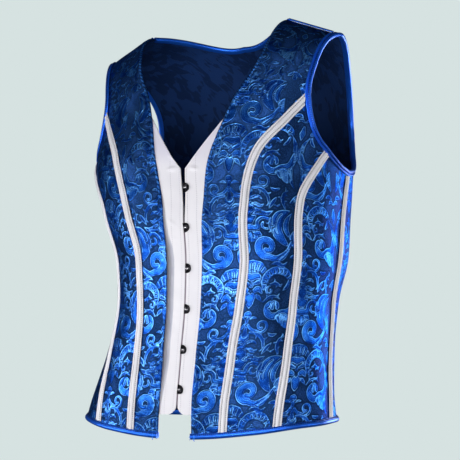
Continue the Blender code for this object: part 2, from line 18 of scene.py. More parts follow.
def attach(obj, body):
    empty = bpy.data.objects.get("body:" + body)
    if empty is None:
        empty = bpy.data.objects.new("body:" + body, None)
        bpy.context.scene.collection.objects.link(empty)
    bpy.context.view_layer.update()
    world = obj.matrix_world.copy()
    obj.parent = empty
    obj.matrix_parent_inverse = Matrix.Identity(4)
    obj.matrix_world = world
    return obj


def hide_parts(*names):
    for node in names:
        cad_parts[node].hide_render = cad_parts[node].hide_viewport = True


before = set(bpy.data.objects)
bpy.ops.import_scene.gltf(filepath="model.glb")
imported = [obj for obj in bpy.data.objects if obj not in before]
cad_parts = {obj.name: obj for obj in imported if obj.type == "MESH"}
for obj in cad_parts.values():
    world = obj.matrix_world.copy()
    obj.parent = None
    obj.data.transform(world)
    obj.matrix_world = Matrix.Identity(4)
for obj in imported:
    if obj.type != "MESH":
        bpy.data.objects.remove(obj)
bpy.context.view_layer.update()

# %% [markdown]
# ## The camera
#
# The picture is taken from the wearer's left of the front, at chest height, with a long lens. Two angles
# turn the camera, and the lens follows from how many pixels one metre fills at one metre's distance.

# %% Camera
VIEW_ROUND = math.radians(26.03)     # round towards the wearer's left
VIEW_UP = math.radians(-2.51)        # the camera looks slightly up
CAMERA_PLACE = (0.8988, -1.8174, -0.3227)
PICTURE_PIXELS, FOCAL_PIXELS = 460, 1644.6


def looking(round_, up):
    """Camera directions right, up and back for a turn round the upright axis, then a tilt."""
    right = (math.cos(round_), math.sin(round_), 0.0)
    back = (math.sin(round_) * math.cos(up), -math.cos(round_) * math.cos(up), math.sin(up))
    above = (-math.sin(round_) * math.sin(up), math.cos(round_) * math.sin(up), math.cos(up))
    return right, above, back


lens = bpy.data.cameras.new("camera")
lens.angle = 2 * math.atan(PICTURE_PIXELS / 2 / FOCAL_PIXELS)
camera = bpy.data.objects.new("camera", lens)
bpy.context.scene.collection.objects.link(camera)
camera.matrix_world = Matrix([*zip(*looking(VIEW_ROUND, VIEW_UP), CAMERA_PLACE), (0, 0, 0, 1)])
bpy.context.scene.camera = camera
bpy.context.scene.view_settings.view_transform = "Standard"
print("the camera sees", round(math.degrees(lens.angle), 2), "degrees")

# %% [markdown]
# ## The worn form
#
# A worn vest is a rounded tube that narrows at the waist and leans in over the shoulders. It could be
# sculpted, but a short table of sections is exact and repeats what the pattern cutter measured: at each
# level a half width, a depth in front and behind, and a centre. A smooth curve through each column gives
# every level in between, and a rounded section, a little squarer than an ellipse, gives every angle.

# %% Sections of the worn form, in millimetres
Section = namedtuple("Section", "level half_width front back centre_x centre_y")
FORM = [
    Section(0, 178, 120, 118, 3, -4),
    Section(-60, 171, 120, 118, 2, 5),
    Section(-120, 165, 124, 118, -3, 11),
    Section(-170, 164, 127, 115, -8, 9),
    Section(-230, 155, 128, 111, -1, 3),
    Section(-290, 143, 125, 104, 9, -2),
    Section(-340, 137, 116, 100, 5, -6),
    Section(-400, 144, 104, 100, -6, -9),
    Section(-450, 155, 95, 102, -17, -9),
    Section(-500, 167, 90, 107, -25, -5),
]
ROUNDNESS = 2.35         # power of the rounded section, 2 is an ellipse
BUST = -0.170            # level from which the cloth leans in towards the shoulder seam
NECK_X, TIP_X = 0.093, 0.157
SHOULDER_MIDDLE = 0.004
SLOPE, SIDE_TILT, NECK_RISE = 0.39, 0.055, 0.16
NECK_Y, TIP_Y = -0.031, -0.018
WALL = 0.0015            # brocade with its interlining


def smooth(rows, column, level="level"):
    """Monotone cubic through one column of a table: each span is a cubic with the mean slopes at its ends."""
    x = np.array([getattr(r, level) for r in rows], float)
    y = np.array([getattr(r, column) for r in rows], float)
    order = np.argsort(x)
    x, y = x[order], y[order]
    h = np.diff(x)
    d = np.diff(y) / h
    m = np.zeros_like(y)
    m[0], m[-1] = d[0], d[-1]
    w1, w2 = 2 * h[1:] + h[:-1], h[1:] + 2 * h[:-1]
    rising = d[:-1] * d[1:] > 0
    safe = np.where(rising, d[:-1], 1), np.where(rising, d[1:], 1)
    m[1:-1] = np.where(rising, (w1 + w2) / (w1 / safe[0] + w2 / safe[1]), 0)

    def value(q):
        q = np.clip(np.asarray(q, float), x[0], x[-1])
        i = np.clip(np.searchsorted(x, q) - 1, 0, len(x) - 2)
        t = (q - x[i]) / h[i]
        return ((1 + 2 * t) * (1 - t) ** 2 * y[i] + t * (1 - t) ** 2 * h[i] * m[i]
                + t * t * (3 - 2 * t) * y[i + 1] + t * t * (t - 1) * h[i] * m[i + 1])

    return value


SECTION = {name: smooth(FORM, name) for name in Section._fields[1:]}


def form_at(level):
    mm = np.asarray(level) * 1000
    return [SECTION[n](mm) / 1000 for n in Section._fields[1:]]


print("sections from", FORM[-1].level, "to", FORM[0].level, "mm")

# %% [markdown]
# ## A point on the cloth
#
# Two numbers name a point on the cloth: the angle round the body, 0 at the centre front, and the rise, the
# way up the cloth from the bust line. Above the bust line the cloth leans in on a quarter of an ellipse
# until it meets the shoulder seam, which is a sloping line over each shoulder.

# %% The form as a function of two numbers


def level_of(rise):
    """Level for a rise: equal below the bust line, the sine of the way round the quarter ellipse above."""
    rise = np.asarray(rise, float)
    return np.where(rise < 0, BUST + rise, BUST * (1 - np.sin(np.maximum(rise, 0) / -BUST)))


def rise_of(level):
    """Rise for a level, the other way round."""
    level = np.asarray(level, float)
    up = np.clip((level - BUST) / -BUST, 0, 1)
    return np.where(level < BUST, level - BUST, -BUST * np.arcsin(up))


TOP = float(rise_of(0.0))


def shoulder_line(x):
    """Height and depth of the shoulder seam over x: a slope outwards from the neck, tilted sideways."""
    out = np.abs(x - SHOULDER_MIDDLE)
    z = np.where(out > NECK_X, -(out - NECK_X) * SLOPE, (NECK_X - out) * NECK_RISE)
    part = (out - NECK_X) / (TIP_X - NECK_X)
    return z + SIDE_TILT * (x - SHOULDER_MIDDLE), NECK_Y + (TIP_Y - NECK_Y) * part


def worn(angle, rise):
    """Point where |sin/half width|^n + |cos/depth|^n = 1, drawn in to the shoulder line above the bust."""
    level = level_of(rise)
    half, front, back, cx, cy = form_at(level)
    c, s = np.cos(angle), np.sin(angle)
    depth = np.where(c > 0, front, back)
    r = ((np.abs(s) / half) ** ROUNDNESS + (np.abs(c) / depth) ** ROUNDNESS) ** (-1 / ROUNDNESS)
    x, y = cx + r * s, cy - r * c
    seam_z, seam_y = shoulder_line(x)
    up = np.asarray(rise) > 0
    climb = (level - BUST) / -BUST
    lean = np.cos(np.maximum(rise, 0) / -BUST)
    z = np.where(up, BUST + (seam_z - BUST) * climb, level)
    y = np.where(up, seam_y + (y - seam_y) * lean, y)
    return np.stack([x, y, z + 0 * x], axis=-1)


shoulder_x = SHOULDER_MIDDLE + np.array([1, -1]) * (NECK_X + TIP_X) / 2
seam_z, seam_y = shoulder_line(shoulder_x)
ORIGIN = np.array([shoulder_x.mean(), seam_y.mean(), seam_z.mean() - WALL])


def surface(angle, rise):
    """The brocade's outer face, from the origin between the shoulder seams."""
    return worn(np.asarray(angle, float), np.asarray(rise, float)) - ORIGIN


def unit(v):
    return v / np.maximum(np.linalg.norm(v, axis=-1, keepdims=True), 1e-12)


def normals(angle, rise):
    """Outward direction: the cross product of a small step round and a small step up."""
    e = 1e-4
    du = surface(angle + e, rise) - surface(angle - e, rise)
    dv = surface(angle, rise + e) - surface(angle, rise - e)
    return unit(np.cross(du, dv))


def angle_at(x, level, behind=False):
    """Angle of the point that lies x to the side of the section's centre."""
    half, front, back = form_at(level)[:3]
    q = np.clip(np.abs(x) / half, 0, 0.9995)
    depth = (back if behind else front) * (1 - q ** ROUNDNESS) ** (1 / ROUNDNESS)
    a = np.arctan2(np.abs(x), depth)
    return np.sign(x) * np.where(behind, math.pi - a, a)


print("origin at", ORIGIN.round(4), "cloth is", round(TOP * 1000), "mm from bust line to shoulder")

# %% [markdown]
# ## Seam lines
#
# The cutter's lines are short tables again: where each seam, the hem, the armhole and the front edges run.
# Each panel is then the four-sided patch between its lines. A Coons patch fills it: it blends the two side
# curves and the two end curves, and takes away the blend of the four corners that was counted twice.

# %% Seams, hem, armhole and front edges: level in mm, and angle in degrees or distance in mm
Stitch = namedtuple("Stitch", "level angle")
PRINCESS = [Stitch(-88, 60.4), Stitch(-120, 51.5), Stitch(-160, 40.6), Stitch(-210, 34.9),
            Stitch(-280, 31.3), Stitch(-370, 32.0), Stitch(-440, 34.4), Stitch(-505, 36.0)]
SIDE_FRONT = [Stitch(-155, 74.2), Stitch(-170, 69.7), Stitch(-220, 58.2), Stitch(-280, 56.0),
              Stitch(-370, 58.9), Stitch(-440, 60.5), Stitch(-505, 59.8)]
SIDE = [Stitch(-178, 92.0), Stitch(-230, 89.8), Stitch(-280, 88.6), Stitch(-370, 93.4),
        Stitch(-440, 93.4), Stitch(-505, 88.4)]
BACK_SEAM_FOOT = 121.0   # angle of the plain back seam at the hem, it ends in the armhole's back corner
TURN = math.radians(1.2)  # the side-front seams sit this far round to the wearer's left
HEM = [Stitch(-498.5, 0), Stitch(-498, 14), Stitch(-496.5, 28.6), Stitch(-491, 51.6), Stitch(-482.5, 74.5),
       Stitch(-480, 97.4), Stitch(-482, 130), Stitch(-484, 180)]
ARM_FRONT = [Stitch(-20, 62.9), Stitch(-45, 61.3), Stitch(-75, 60.1), Stitch(-88, 60.4)]
ARM_FIRST = [Stitch(-88, 60.4), Stitch(-105, 61.8), Stitch(-125, 64.4), Stitch(-142, 68.6),
             Stitch(-155, 74.2)]
ARM_SECOND = [Stitch(-155, 74.2), Stitch(-165, 79.2), Stitch(-173, 85.0), Stitch(-178, 92.0)]
ARM_THIRD = [Stitch(-178, 92.0), Stitch(-176, 99), Stitch(-167, 106.5), Stitch(-152, 112.8),
             Stitch(-133, 117)]
ARM_BACK = [Stitch(-133, 117), Stitch(-108, 119.3), Stitch(-80, 120), Stitch(-45, 118.5), Stitch(-20, 116)]

Edge = namedtuple("Edge", "level out")
FRONT_EDGE = [Edge(0, 92), Edge(-50, 80), Edge(-100, 55.6), Edge(-140, 42.6), Edge(-180, 32.4),
              Edge(-230, 26.4), Edge(-290, 23.6), Edge(-370, 22.6), Edge(-440, 21.6), Edge(-505, 22.6)]
MIDDLE = [Edge(0, 1.8), Edge(-100, 2), Edge(-200, 4), Edge(-290, -4.5), Edge(-370, -4), Edge(-440, -2),
          Edge(-505, 0)]
V_EDGE = [Edge(-84, 66), Edge(-90, 62.6), Edge(-120, 46.6), Edge(-150, 25.5), Edge(-178, 3.0)]
BUSK_SHIFT = 0.0018      # busk line beside the front's middle line, to the wearer's left
BACK_NECK_DROP = 0.026   # back neckline's middle below the neck ends
SEAM = 0.0003            # clear gap between neighbouring pieces

MIDDLE_AT, EDGE_AT, V_AT = smooth(MIDDLE, "out"), smooth(FRONT_EDGE, "out"), smooth(V_EDGE, "out")
HEM_AT = smooth(HEM, "level", "angle")


def hem_rise(angle):
    return rise_of(HEM_AT(np.degrees(np.abs(angle))) / 1000)


def front_edge(side, level):
    mm = np.asarray(level) * 1000
    return (MIDDLE_AT(mm) + side * EDGE_AT(mm)) / 1000


def busk_line(level):
    return MIDDLE_AT(np.asarray(level) * 1000) / 1000 + BUSK_SHIFT


print("seam tables ready")

# %% Curves along the lines
SEAM_ROWS, ARM_ROWS = 280, 64
PANEL_COLUMNS, SHOULDER_COLUMNS, NECK_COLUMNS = 56, 52, 44
SEAM_CROWD = 1.2         # rows draw closer towards the armhole, where the seams bend
BODY_RADIUS = 0.16       # rough radius that turns an angle into a length
TOP_FADE, FADE_LENGTH = float(rise_of(-0.155)), 0.06     # a seam's turn fades out below its top


def spaced(a, b, n):
    return np.linspace(a, b, n + 1)


def seam_curve(table, n, turn, side):
    """Angles and rises up one seam from the hem, with points closer together where it bends at the top."""
    at = smooth(table, "angle")
    foot = 0.0
    for _ in range(4):
        angle = math.radians(float(at(foot))) if foot else math.radians(table[-1].angle)
        foot = float(HEM_AT(math.degrees(angle)))
    rises = spaced(float(rise_of(foot / 1000)), float(rise_of(table[0].level / 1000)), 400)
    angles = np.radians(at(level_of(rises) * 1000))
    run = np.concatenate([[0], np.cumsum(np.hypot(np.diff(angles) * BODY_RADIUS, np.diff(rises)))])
    rises = np.interp(run[-1] * (1 - (1 - spaced(0, 1, n)) ** SEAM_CROWD), run, rises)
    angles = np.radians(at(level_of(rises) * 1000))
    fade = np.clip((TOP_FADE - rises) / FADE_LENGTH, 0, 1)
    return angles + side * turn * fade, rises


def edge_curve(rows, n):
    """Angles and rises along an edge given as a few stitches, evenly spaced by length."""
    a = np.radians([r.angle for r in rows])
    h = rise_of(np.array([r.level for r in rows]) / 1000)
    run = np.concatenate([[0], np.cumsum(np.hypot(np.diff(a) * BODY_RADIUS, np.diff(h)))])
    knots = [namedtuple("Knot", "level a h")(s, x, y) for s, x, y in zip(run, a, h)]
    t = np.linspace(0, run[-1], n + 1)
    return smooth(knots, "a")(t), smooth(knots, "h")(t)


def shoulder_curve(side, behind):
    """Shoulder seam from the neck to the tip, as unsigned angles."""
    x = SHOULDER_MIDDLE + side * spaced(NECK_X, TIP_X, SHOULDER_COLUMNS)
    return np.abs(angle_at(x - form_at(0.0)[3], 0.0, behind)), np.full(len(x), TOP)


def coons(left, right, bottom, top):
    """Fill a four-sided region: side blend plus end blend, less the blend of the corners."""
    left, right, bottom, top = (np.stack(curve, -1) for curve in (left, right, bottom, top))
    v = np.linspace(0, 1, len(left))[:, None, None]
    u = np.linspace(0, 1, len(bottom))[None, :, None]
    grid = (1 - u) * left[:, None] + u * right[:, None] + (1 - v) * bottom[None] + v * top[None]
    corners = ((1 - u) * (1 - v) * left[0] + u * (1 - v) * right[0]
               + (1 - u) * v * left[-1] + u * v * right[-1])
    return grid - corners


def hem_between(a, b, n):
    angles = spaced(float(a), float(b), n)
    return angles, hem_rise(angles)


def placed(grid, side):
    """Points of a grid of unsigned angles, on one side of the body."""
    return surface(side * grid[..., 0], grid[..., 1])


print("seam rows", SEAM_ROWS, "panel columns", PANEL_COLUMNS)

# %% The five brocade panels of one side


def panels(side):
    """Angle and rise grids of the panels of one side, with unsigned angles, before their seam gaps."""
    princess = seam_curve(PRINCESS, SEAM_ROWS, 0.0, side)
    side_front = seam_curve(SIDE_FRONT, SEAM_ROWS, TURN, side)
    side_seam = seam_curve(SIDE, SEAM_ROWS, 0.0, side)
    tip_front, tip_back = shoulder_curve(side, False), shoulder_curve(side, True)

    arm = edge_curve([Stitch(0, math.degrees(tip_front[0][-1]))] + ARM_FRONT, ARM_ROWS)
    arm = arm[0][::-1], arm[1][::-1]
    right = np.concatenate([princess[0], arm[0][1:]]), np.concatenate([princess[1], arm[1][1:]])
    foot = float(hem_rise(0.1))
    seam_part = (princess[1] - princess[1][0]) / (princess[1][-1] - princess[1][0])
    rises = np.concatenate([foot + (princess[1][-1] - foot) * seam_part,
                            spaced(princess[1][-1], TOP, ARM_ROWS)[1:]])
    levels = level_of(rises)
    edge = np.abs(angle_at(front_edge(side, levels), levels))
    edge[-1] = tip_front[0][0]
    bottom = hem_between(edge[0], princess[0][0], SHOULDER_COLUMNS)
    front = coons((edge, rises), right, bottom, tip_front)

    first, second = edge_curve(ARM_FIRST, PANEL_COLUMNS), edge_curve(ARM_SECOND, PANEL_COLUMNS)
    third = edge_curve(ARM_THIRD, PANEL_COLUMNS)
    foot_one = hem_between(princess[0][0], side_front[0][0], PANEL_COLUMNS)
    foot_two = hem_between(side_front[0][0], side_seam[0][0], PANEL_COLUMNS)
    side_front_panel = coons(princess, side_front, foot_one, first)
    side_panel = coons(side_front, side_seam, foot_two, second)

    corner, bust = third[0][-1], third[1][-1]
    columns = SHOULDER_COLUMNS + NECK_COLUMNS
    seam_foot = math.radians(BACK_SEAM_FOOT)
    foot = hem_between(side_seam[0][0], seam_foot, PANEL_COLUMNS)
    wide = hem_between(seam_foot, math.pi, columns)
    part = (side_seam[1] - side_seam[1][0]) / (side_seam[1][-1] - side_seam[1][0])
    back_seam = seam_foot + (corner - seam_foot) * part, foot[1][-1] + (bust - foot[1][-1]) * part
    side_back = coons(side_seam, back_seam, foot, third)

    up = edge_curve(ARM_BACK + [Stitch(0, math.degrees(tip_back[0][-1]))], ARM_ROWS)
    neck_end = float(rise_of(-BACK_NECK_DROP))
    across = spaced(0, 1, NECK_COLUMNS)[1:]
    neck_angle = tip_back[0][0] + (math.pi - tip_back[0][0]) * across
    neck_rise = TOP + (neck_end - TOP) * np.sin(across * math.pi / 2) ** 0.8
    top = (np.concatenate([tip_back[0][::-1], neck_angle]), np.concatenate([tip_back[1], neck_rise]))
    yoke_line = spaced(corner, math.pi, columns), np.full(columns + 1, bust)
    beyond = np.full(ARM_ROWS + 1, math.pi), spaced(bust, neck_end, ARM_ROWS)
    upper = coons(up, beyond, yoke_line, top)
    centre = np.full(SEAM_ROWS + 1, math.pi), wide[1][-1] + (bust - wide[1][-1]) * part
    lower = coons(back_seam, centre, wide, yoke_line)
    return {"front": front, "side_front": side_front_panel, "side": side_panel,
            "side_back": side_back, "back": np.concatenate([lower, upper[1:]]),
            "seams": {"princess": princess, "side_front": side_front, "side": side_seam}}


CUT = {side: panels(side) for side in (1, -1)}
TAGS = {1: "left", -1: "right"}
print("panels:", {name: grid.shape[:2] for name, grid in CUT[1].items() if name != "seams"})

# %% [markdown]
# ## Drawing the damask
#
# Damask shows its figure by weave alone: leaves and scrolls in a lighter satin on a dark ground. Its
# repeat is drawn here as a loom card would be, in half a repeat that is mirrored left and right and
# repeated up and down. Nothing is painted into an image. Each stroke is a union of discs along a smooth
# line, which gives at every place the distance to the figure's edge. The panels then carry that distance
# at their points, so a material can draw a crisp edge, a bright outline or a dark vein from one number.

# %% The card of the repeat, in millimetres, with the figure's distance kept at every half millimetre
HALF_WIDE, TALL, CARD_STEP = 62.0, 180.0, 0.5
CARD_SCALE = 170.0 / TALL        # the woven repeat is 170 mm tall, the card is drawn a little larger
FAR = -9.0
card_x = np.arange(0, HALF_WIDE + CARD_STEP / 2, CARD_STEP)
card_y = np.arange(0, TALL, CARD_STEP)
figure = np.full((len(card_y), len(card_x)), FAR)
tone = np.full(figure.shape, 0.5)


def flowing(points, step=0.35):
    """Smooth line through points: a Catmull-Rom cubic in each span, at an even step in millimetres."""
    p = np.asarray(points, float)
    p = np.concatenate([[2 * p[0] - p[1]], p, [2 * p[-1] - p[-2]]])
    t = np.linspace(0, 1, 24, endpoint=False)[:, None]
    spans = [0.5 * (2 * b + (c - a) * t + (2 * a - 5 * b + 4 * c - d) * t ** 2
                    + (3 * b - a - 3 * c + d) * t ** 3)
             for a, b, c, d in zip(p, p[1:], p[2:], p[3:])]
    line = np.concatenate(spans + [p[-2:-1]])
    run = np.concatenate([[0], np.cumsum(np.linalg.norm(np.diff(line, axis=0), axis=1))])
    even = np.linspace(0, run[-1], max(4, int(run[-1] / step)))
    return np.stack([np.interp(even, run, line[:, 0]), np.interp(even, run, line[:, 1])], axis=1)


def curl(centre, start, end, degrees, turned):
    """Points of a spiral: the radius shrinks evenly from start to end while the angle turns."""
    a = np.radians(degrees + np.linspace(0, turned, 3 + int(abs(turned) / 30)))
    r = np.linspace(start, end, len(a))
    return [(centre[0] + q * math.cos(b), centre[1] - q * math.sin(b)) for q, b in zip(r, a)]


def stroke(points, widths):
    """Distance inside a union of discs along a line, on the whole card with its mirrors and repeats."""
    line = flowing(points)
    radii = np.interp(np.linspace(0, 1, len(line)), np.linspace(0, 1, len(widths)), widths) / 2
    inside = np.full(figure.shape, FAR)
    reach = radii.max() - FAR / 2
    for flip, moved in ((1, 0), (-1, 0), (-1, 2 * HALF_WIDE)):
        for lift in (-TALL, 0, TALL):
            x, y = flip * line[:, 0] + moved, line[:, 1] + lift
            cols = np.flatnonzero((card_x > x.min() - reach) & (card_x < x.max() + reach))
            rows = np.flatnonzero((card_y > y.min() - reach) & (card_y < y.max() + reach))
            if len(cols) and len(rows):
                part = np.ix_(rows, cols)
                away = np.hypot(card_x[cols][None, :, None] - x, card_y[rows][:, None, None] - y)
                inside[part] = np.maximum(inside[part], (radii - away).max(-1))
    return inside


def lay(shape, bright, gap=1.0):
    """Lay a motif over the card: whatever lies below keeps a dark gap round it."""
    global figure, tone
    figure = np.maximum(np.minimum(figure, -(shape + gap)), shape)
    tone = np.where(shape > -gap / 2, bright, tone)


def slit(shape):
    """Cut a dark line or hole out of the figure."""
    global figure
    figure = np.minimum(figure, -shape)


def leaf(points, width, bright, vein=1.1, gap=1.0):
    """A pointed leaf: the stroke swells from nothing and tapers off again, with a dark vein half way up."""
    swell = [width * math.sin(math.pi * t) ** 0.75 for t in (0.14, 0.3, 0.45, 0.6, 0.75, 0.88)]
    lay(stroke(points, [0.5, *swell, 0.4]), bright, gap)
    if vein:
        middle = flowing(points)
        slit(stroke(middle[len(middle) // 5:len(middle) * 2 // 3:6], [vein, vein, 0.5]))


def frond(points, width, bright, lobes, gap=1.0):
    """A ragged leaf: a tapering spine with small hooked lobes, each a share of the way along and a turn."""
    line = flowing(points)
    shape = stroke(points, [width * 0.6, width, width * 0.85, 0.6])
    for share, degrees, length in lobes:
        i = int(share * (len(line) - 2))
        along = math.atan2(*(line[i + 1] - line[i])[::-1])
        first, then = along + math.radians(degrees), along + math.radians(degrees * 1.7)
        root = line[i]
        knee = root + length * 0.6 * np.array([math.cos(first), math.sin(first)])
        tip = knee + length * 0.5 * np.array([math.cos(then), math.sin(then)])
        shape = np.maximum(shape, stroke([root, knee, tip], [width * 0.55, width * 0.5, 0.6]))
    lay(shape, bright, gap)


print("card", figure.shape, "steps of", CARD_STEP, "mm")

# %% [markdown]
# ## The motifs
#
# The card reads like old scroll damasks: a fleur on the axis with a palmette under it, stems that curl
# into thin scrolls, a tall vase, large hooked scrolls with a broad leaf beside them, and shells with
# slots. x runs out from the axis and y runs down from the fleur's tip.

# %% Vase, palmettes and stems near the axis
lay(stroke([(0, 44), (0, 58), (0, 72)], [6, 12, 20, 10]), 0.28)
lay(stroke([(0, 32), (0, 37), (0, 42)], [6.5, 12.5, 7, 0.8]), 0.72)
lay(stroke([(0, 15), (0, 24), (0, 33)], [3, 3.4, 5]), 0.55)
leaf([(0, 47), (6, 42), (13, 41), (18, 45)], 4.6, 0.5)
leaf([(3, 50), (9, 50), (15, 53), (20, 50)], 5.0, 0.62)
leaf([(4, 63), (13, 61), (22, 63), (31, 59)], 7.0, 0.45)
leaf([(7, 55), (12, 58), (17, 57)], 3.6, 0.6, vein=0)
lay(stroke([(0, 84), (5, 90), (0, 97)], [7, 10, 2]), 0.85)
lay(stroke([(1, 82), (8, 86), (14, 91)], [6, 7.5, 1.2]), 0.8)
slit(stroke([(3, 92), (2, 86), (0, 82)], [1.2, 1.2, 0.6]))
lay(stroke([(0, 80)] + curl((19, 76), 10.5, 3.0, 205, -430), [8, 4.5, 3.6, 3.0, 3.4]), 0.75)
lay(stroke([(0, 17), (6, 25)] + curl((19, 21.5), 8.6, 2.8, 230, 420), [3, 3.8, 3.6, 3.0, 3.6]), 0.82)
frond([(6, 30), (17, 32), (24, 40), (27, 49), (38, 54)], 4.6, 0.7,
      [(0.18, 55, 7), (0.45, -60, 7), (0.7, 60, 7), (0.8, -55, 8), (0.97, -50, 5)])
leaf([(28, 30), (34, 33), (41, 31)], 4.4, 0.6, vein=0)
leaf([(1, 14.5), (7, 11.5), (13, 12.5)], 3.6, 0.95, vein=0)
lay(stroke([(0, 8), (0.1, 9)], [9.5, 8.0]), 0.66)
lay(stroke([(0, 12.5), (0, 17)], [3.0, 4.2]), 0.95)
print("axis motifs fill", round(float((figure > 0).mean()), 2), "of the card")

# %% Fleur, crown and shells
lay(stroke([(0, -41), (0, -33), (0, -28)], [18, 15, 6]), 0.35)
frond([(3, -30), (12, -33), (22, -31)], 5.4, 0.75,
      [(0.3, -60, 7), (0.45, 60, 6), (0.75, -50, 6), (0.8, 50, 6)])
lay(stroke([(2, -20), (9, -24), (14, -19)], [4, 7.6, 2.4]), 0.72)
lay(stroke([(3, -17), (10, -14), (15, -8)], [3, 5.4, 1.0]), 0.6)
lay(stroke([(0, -20), (0, -12), (0, -5), (0, 0)], [4, 12.5, 9, 0.8]), 0.6)
slit(stroke([(0, -19), (2.5, -21.5)], [1.8, 1.0]))

SHELL = (0, 152)
lay(stroke([(0, 126), (8, 128), (15, 134)], [12, 11.5, 7]), 0.68)
for rib in range(5):
    spread = math.radians(4 + 13 * rib)
    ray = np.array([math.sin(spread), -math.cos(spread)])
    slit(stroke([SHELL + 16.5 * ray, SHELL + 27.5 * ray], [0.9, 1.7]))
lay(stroke([(0, 142), (7, 140), (12, 144)], [9, 7, 2]), 0.5)

ARCH, ARCH_RADIUS = (33, 150), 17.0
lay(stroke(curl(ARCH, ARCH_RADIUS, ARCH_RADIUS, 200, -185), [5, 9.5, 10.5, 10, 6]), 0.8)
for slot in range(9):
    turned = math.radians(178 - 17.5 * slot)
    ray = np.array([math.cos(turned), -math.sin(turned)])
    slit(stroke([ARCH + (ARCH_RADIUS - 2.2) * ray, ARCH + (ARCH_RADIUS + 1.2) * ray], [1.9, 1.5]))
frond([(24, 150), (31, 149), (38, 154)], 4.0, 0.5, [(0.3, -60, 6), (0.5, 60, 6), (0.8, -60, 5)])
lay(stroke(curl((24, 158), 5.5, 1.5, 90, 330), [1.8, 3, 2.6, 2.4]), 0.4)
print("with fleur and shells", round(float((figure > 0).mean()), 2))

# %% Large scrolls and the leaves beside them
leaf([(50, -36), (57, -22), (58, -8), (53, 6), (55, 22), (60, 34)], 8.5, 0.5)
lay(stroke([(57, -12), (52, 2)] + curl((31, -1), 12.0, 4.5, -35, -330), [3, 7.5, 9.5, 8.5, 5.5, 4.5]), 0.66)
lay(stroke([(30, -6), (29, 0)], [3.2, 4.6]), 0.85)
slit(stroke([(24, 0), (30, 3)], [1.2, 1.2]))
leaf([(38, 13), (45, 15), (50, 23)], 9.0, 0.95, vein=0)
lay(stroke([(40, 12), (47, 13), (53, 11)], [1.5, 4.5, 1.2]), 0.9, gap=0.2)
leaf([(53, 59), (38, 66), (32, 82), (40, 98), (48, 104)], 15.5, 0.42, vein=1.3)
leaf([(55, 62), (47, 72), (45, 84), (52, 98)], 7.0, 0.7, vein=0)
leaf([(55, 84), (52, 95), (57, 110)], 8.0, 0.85)
lay(stroke([(50, 98), (43, 110), (30, 118)] + curl((18, 104), 12.6, 4.0, -80, -395),
           [3, 6, 8, 10, 9, 6]), 0.75)
lay(stroke([(47, 107), (38, 118), (26, 124)], [1.4, 4.2, 1.6]), 0.8, gap=0.6)
leaf([(62, 40), (58, 46), (52, 50)], 5.6, 0.75, vein=0)
lay(stroke([(62, 47), (62, 52)], [4.6, 6.4]), 0.45)
lay(stroke([(62, 132), (62, 142), (62, 150)], [3, 8, 1]), 0.55)
leaf([(62, 126), (56, 122), (52, 126)], 4.4, 0.7, vein=0)

lay(stroke([(37, 11), (44, 13), (48, 17), (50, 24)], [4.0, 13, 12, 2.0]), 0.95, gap=0.6)
for rib in range(4):
    slit(stroke([(40 + 3 * rib, 8 + 1.2 * rib), (43 + 2.2 * rib, 20 + rib)], [0.7, 0.5]))
frond([(46, 56), (43, 47), (45, 38), (52, 34)], 4.4, 0.45,
      [(0.2, 60, 7), (0.45, -60, 7), (0.6, 60, 7), (0.85, -55, 6)])
frond([(17, -8), (24, -14), (32, -15), (40, -10)], 3.6, 0.3, [(0.25, -60, 6), (0.4, 60, 5), (0.7, -60, 6)])
frond([(27, 68), (25, 78), (27, 88)], 3.6, 0.35, [(0.3, 55, 6), (0.5, -60, 5), (0.8, 60, 5)])
leaf([(36, 42), (31, 48), (25, 57)], 5.0, 0.35, vein=0)
leaf([(22, 126), (30, 124), (38, 127), (44, 122)], 5.0, 0.5, vein=0)
leaf([(46, 118), (53, 116), (58, 120)], 5.0, 0.6, vein=0)
leaf([(40, 158), (46, 152), (47, 144)], 4.6, 0.35, vein=0)
# lean is the slope of the figure towards a fixed light from up and out; the brocade uses it to paint a lit
# side and a shaded side on each motif
down_slope, out_slope = np.gradient(figure)
lean = (0.75 * down_slope + 0.65 * out_slope) / np.maximum(np.hypot(down_slope, out_slope), 0.05)
print("the figure covers", round(float((figure > 0).mean()), 2), "of the cloth")

# %% [markdown]
# ## Cloth coordinates
#
# A pattern follows the cloth, not the room. So each point of a panel gets its place on the flat cloth: the
# length round the body from the centre front, and the rise. The length is summed once into a table of
# short steps round the form, and every panel reads its own lengths from it. Each panel was cut with its
# own placing of the repeat, so each has an axis, at two heights, and the rise of one fleur's tip.

# %% Lengths round the body, and the damask's placing on each panel
ROUND_STEP, RISE_STEP = math.radians(0.5), 0.004
LOWEST_RISE = -0.344     # a little below the hem
table_angles = np.arange(-math.pi - ROUND_STEP, math.pi + 2 * ROUND_STEP, ROUND_STEP)
table_rises = np.arange(LOWEST_RISE, TOP + RISE_STEP, RISE_STEP)
ring_points = surface(*np.meshgrid(table_angles, np.minimum(table_rises, TOP)))
ring_steps = np.linalg.norm(np.diff(ring_points, axis=1), axis=-1) * 1000
ring_lengths = np.concatenate([np.zeros((len(table_rises), 1)), np.cumsum(ring_steps, axis=1)], axis=1)
front_column = int(np.argmin(np.abs(table_angles)))
ring_lengths -= ring_lengths[:, front_column:front_column + 1]

Grain = namedtuple("Grain", "low high tip")  # axis in mm at rise -300 and at rise 0, a fleur tip's rise
GRAIN = {"front_left": Grain(53, 65, -14.3), "side_front_left": Grain(70, 88, -174.1),
         "side_left": Grain(144, 144, -102), "side_back_left": Grain(253, 253, -60),
         "back_left": Grain(308, 306, -40), "back_right": Grain(-308, -306, -40),
         "side_back_right": Grain(-253, -253, -60), "side_right": Grain(-165, -165, -140),
         "side_front_right": Grain(-104, -122, -96.8), "front_right": Grain(-27, -25, -21.3)}


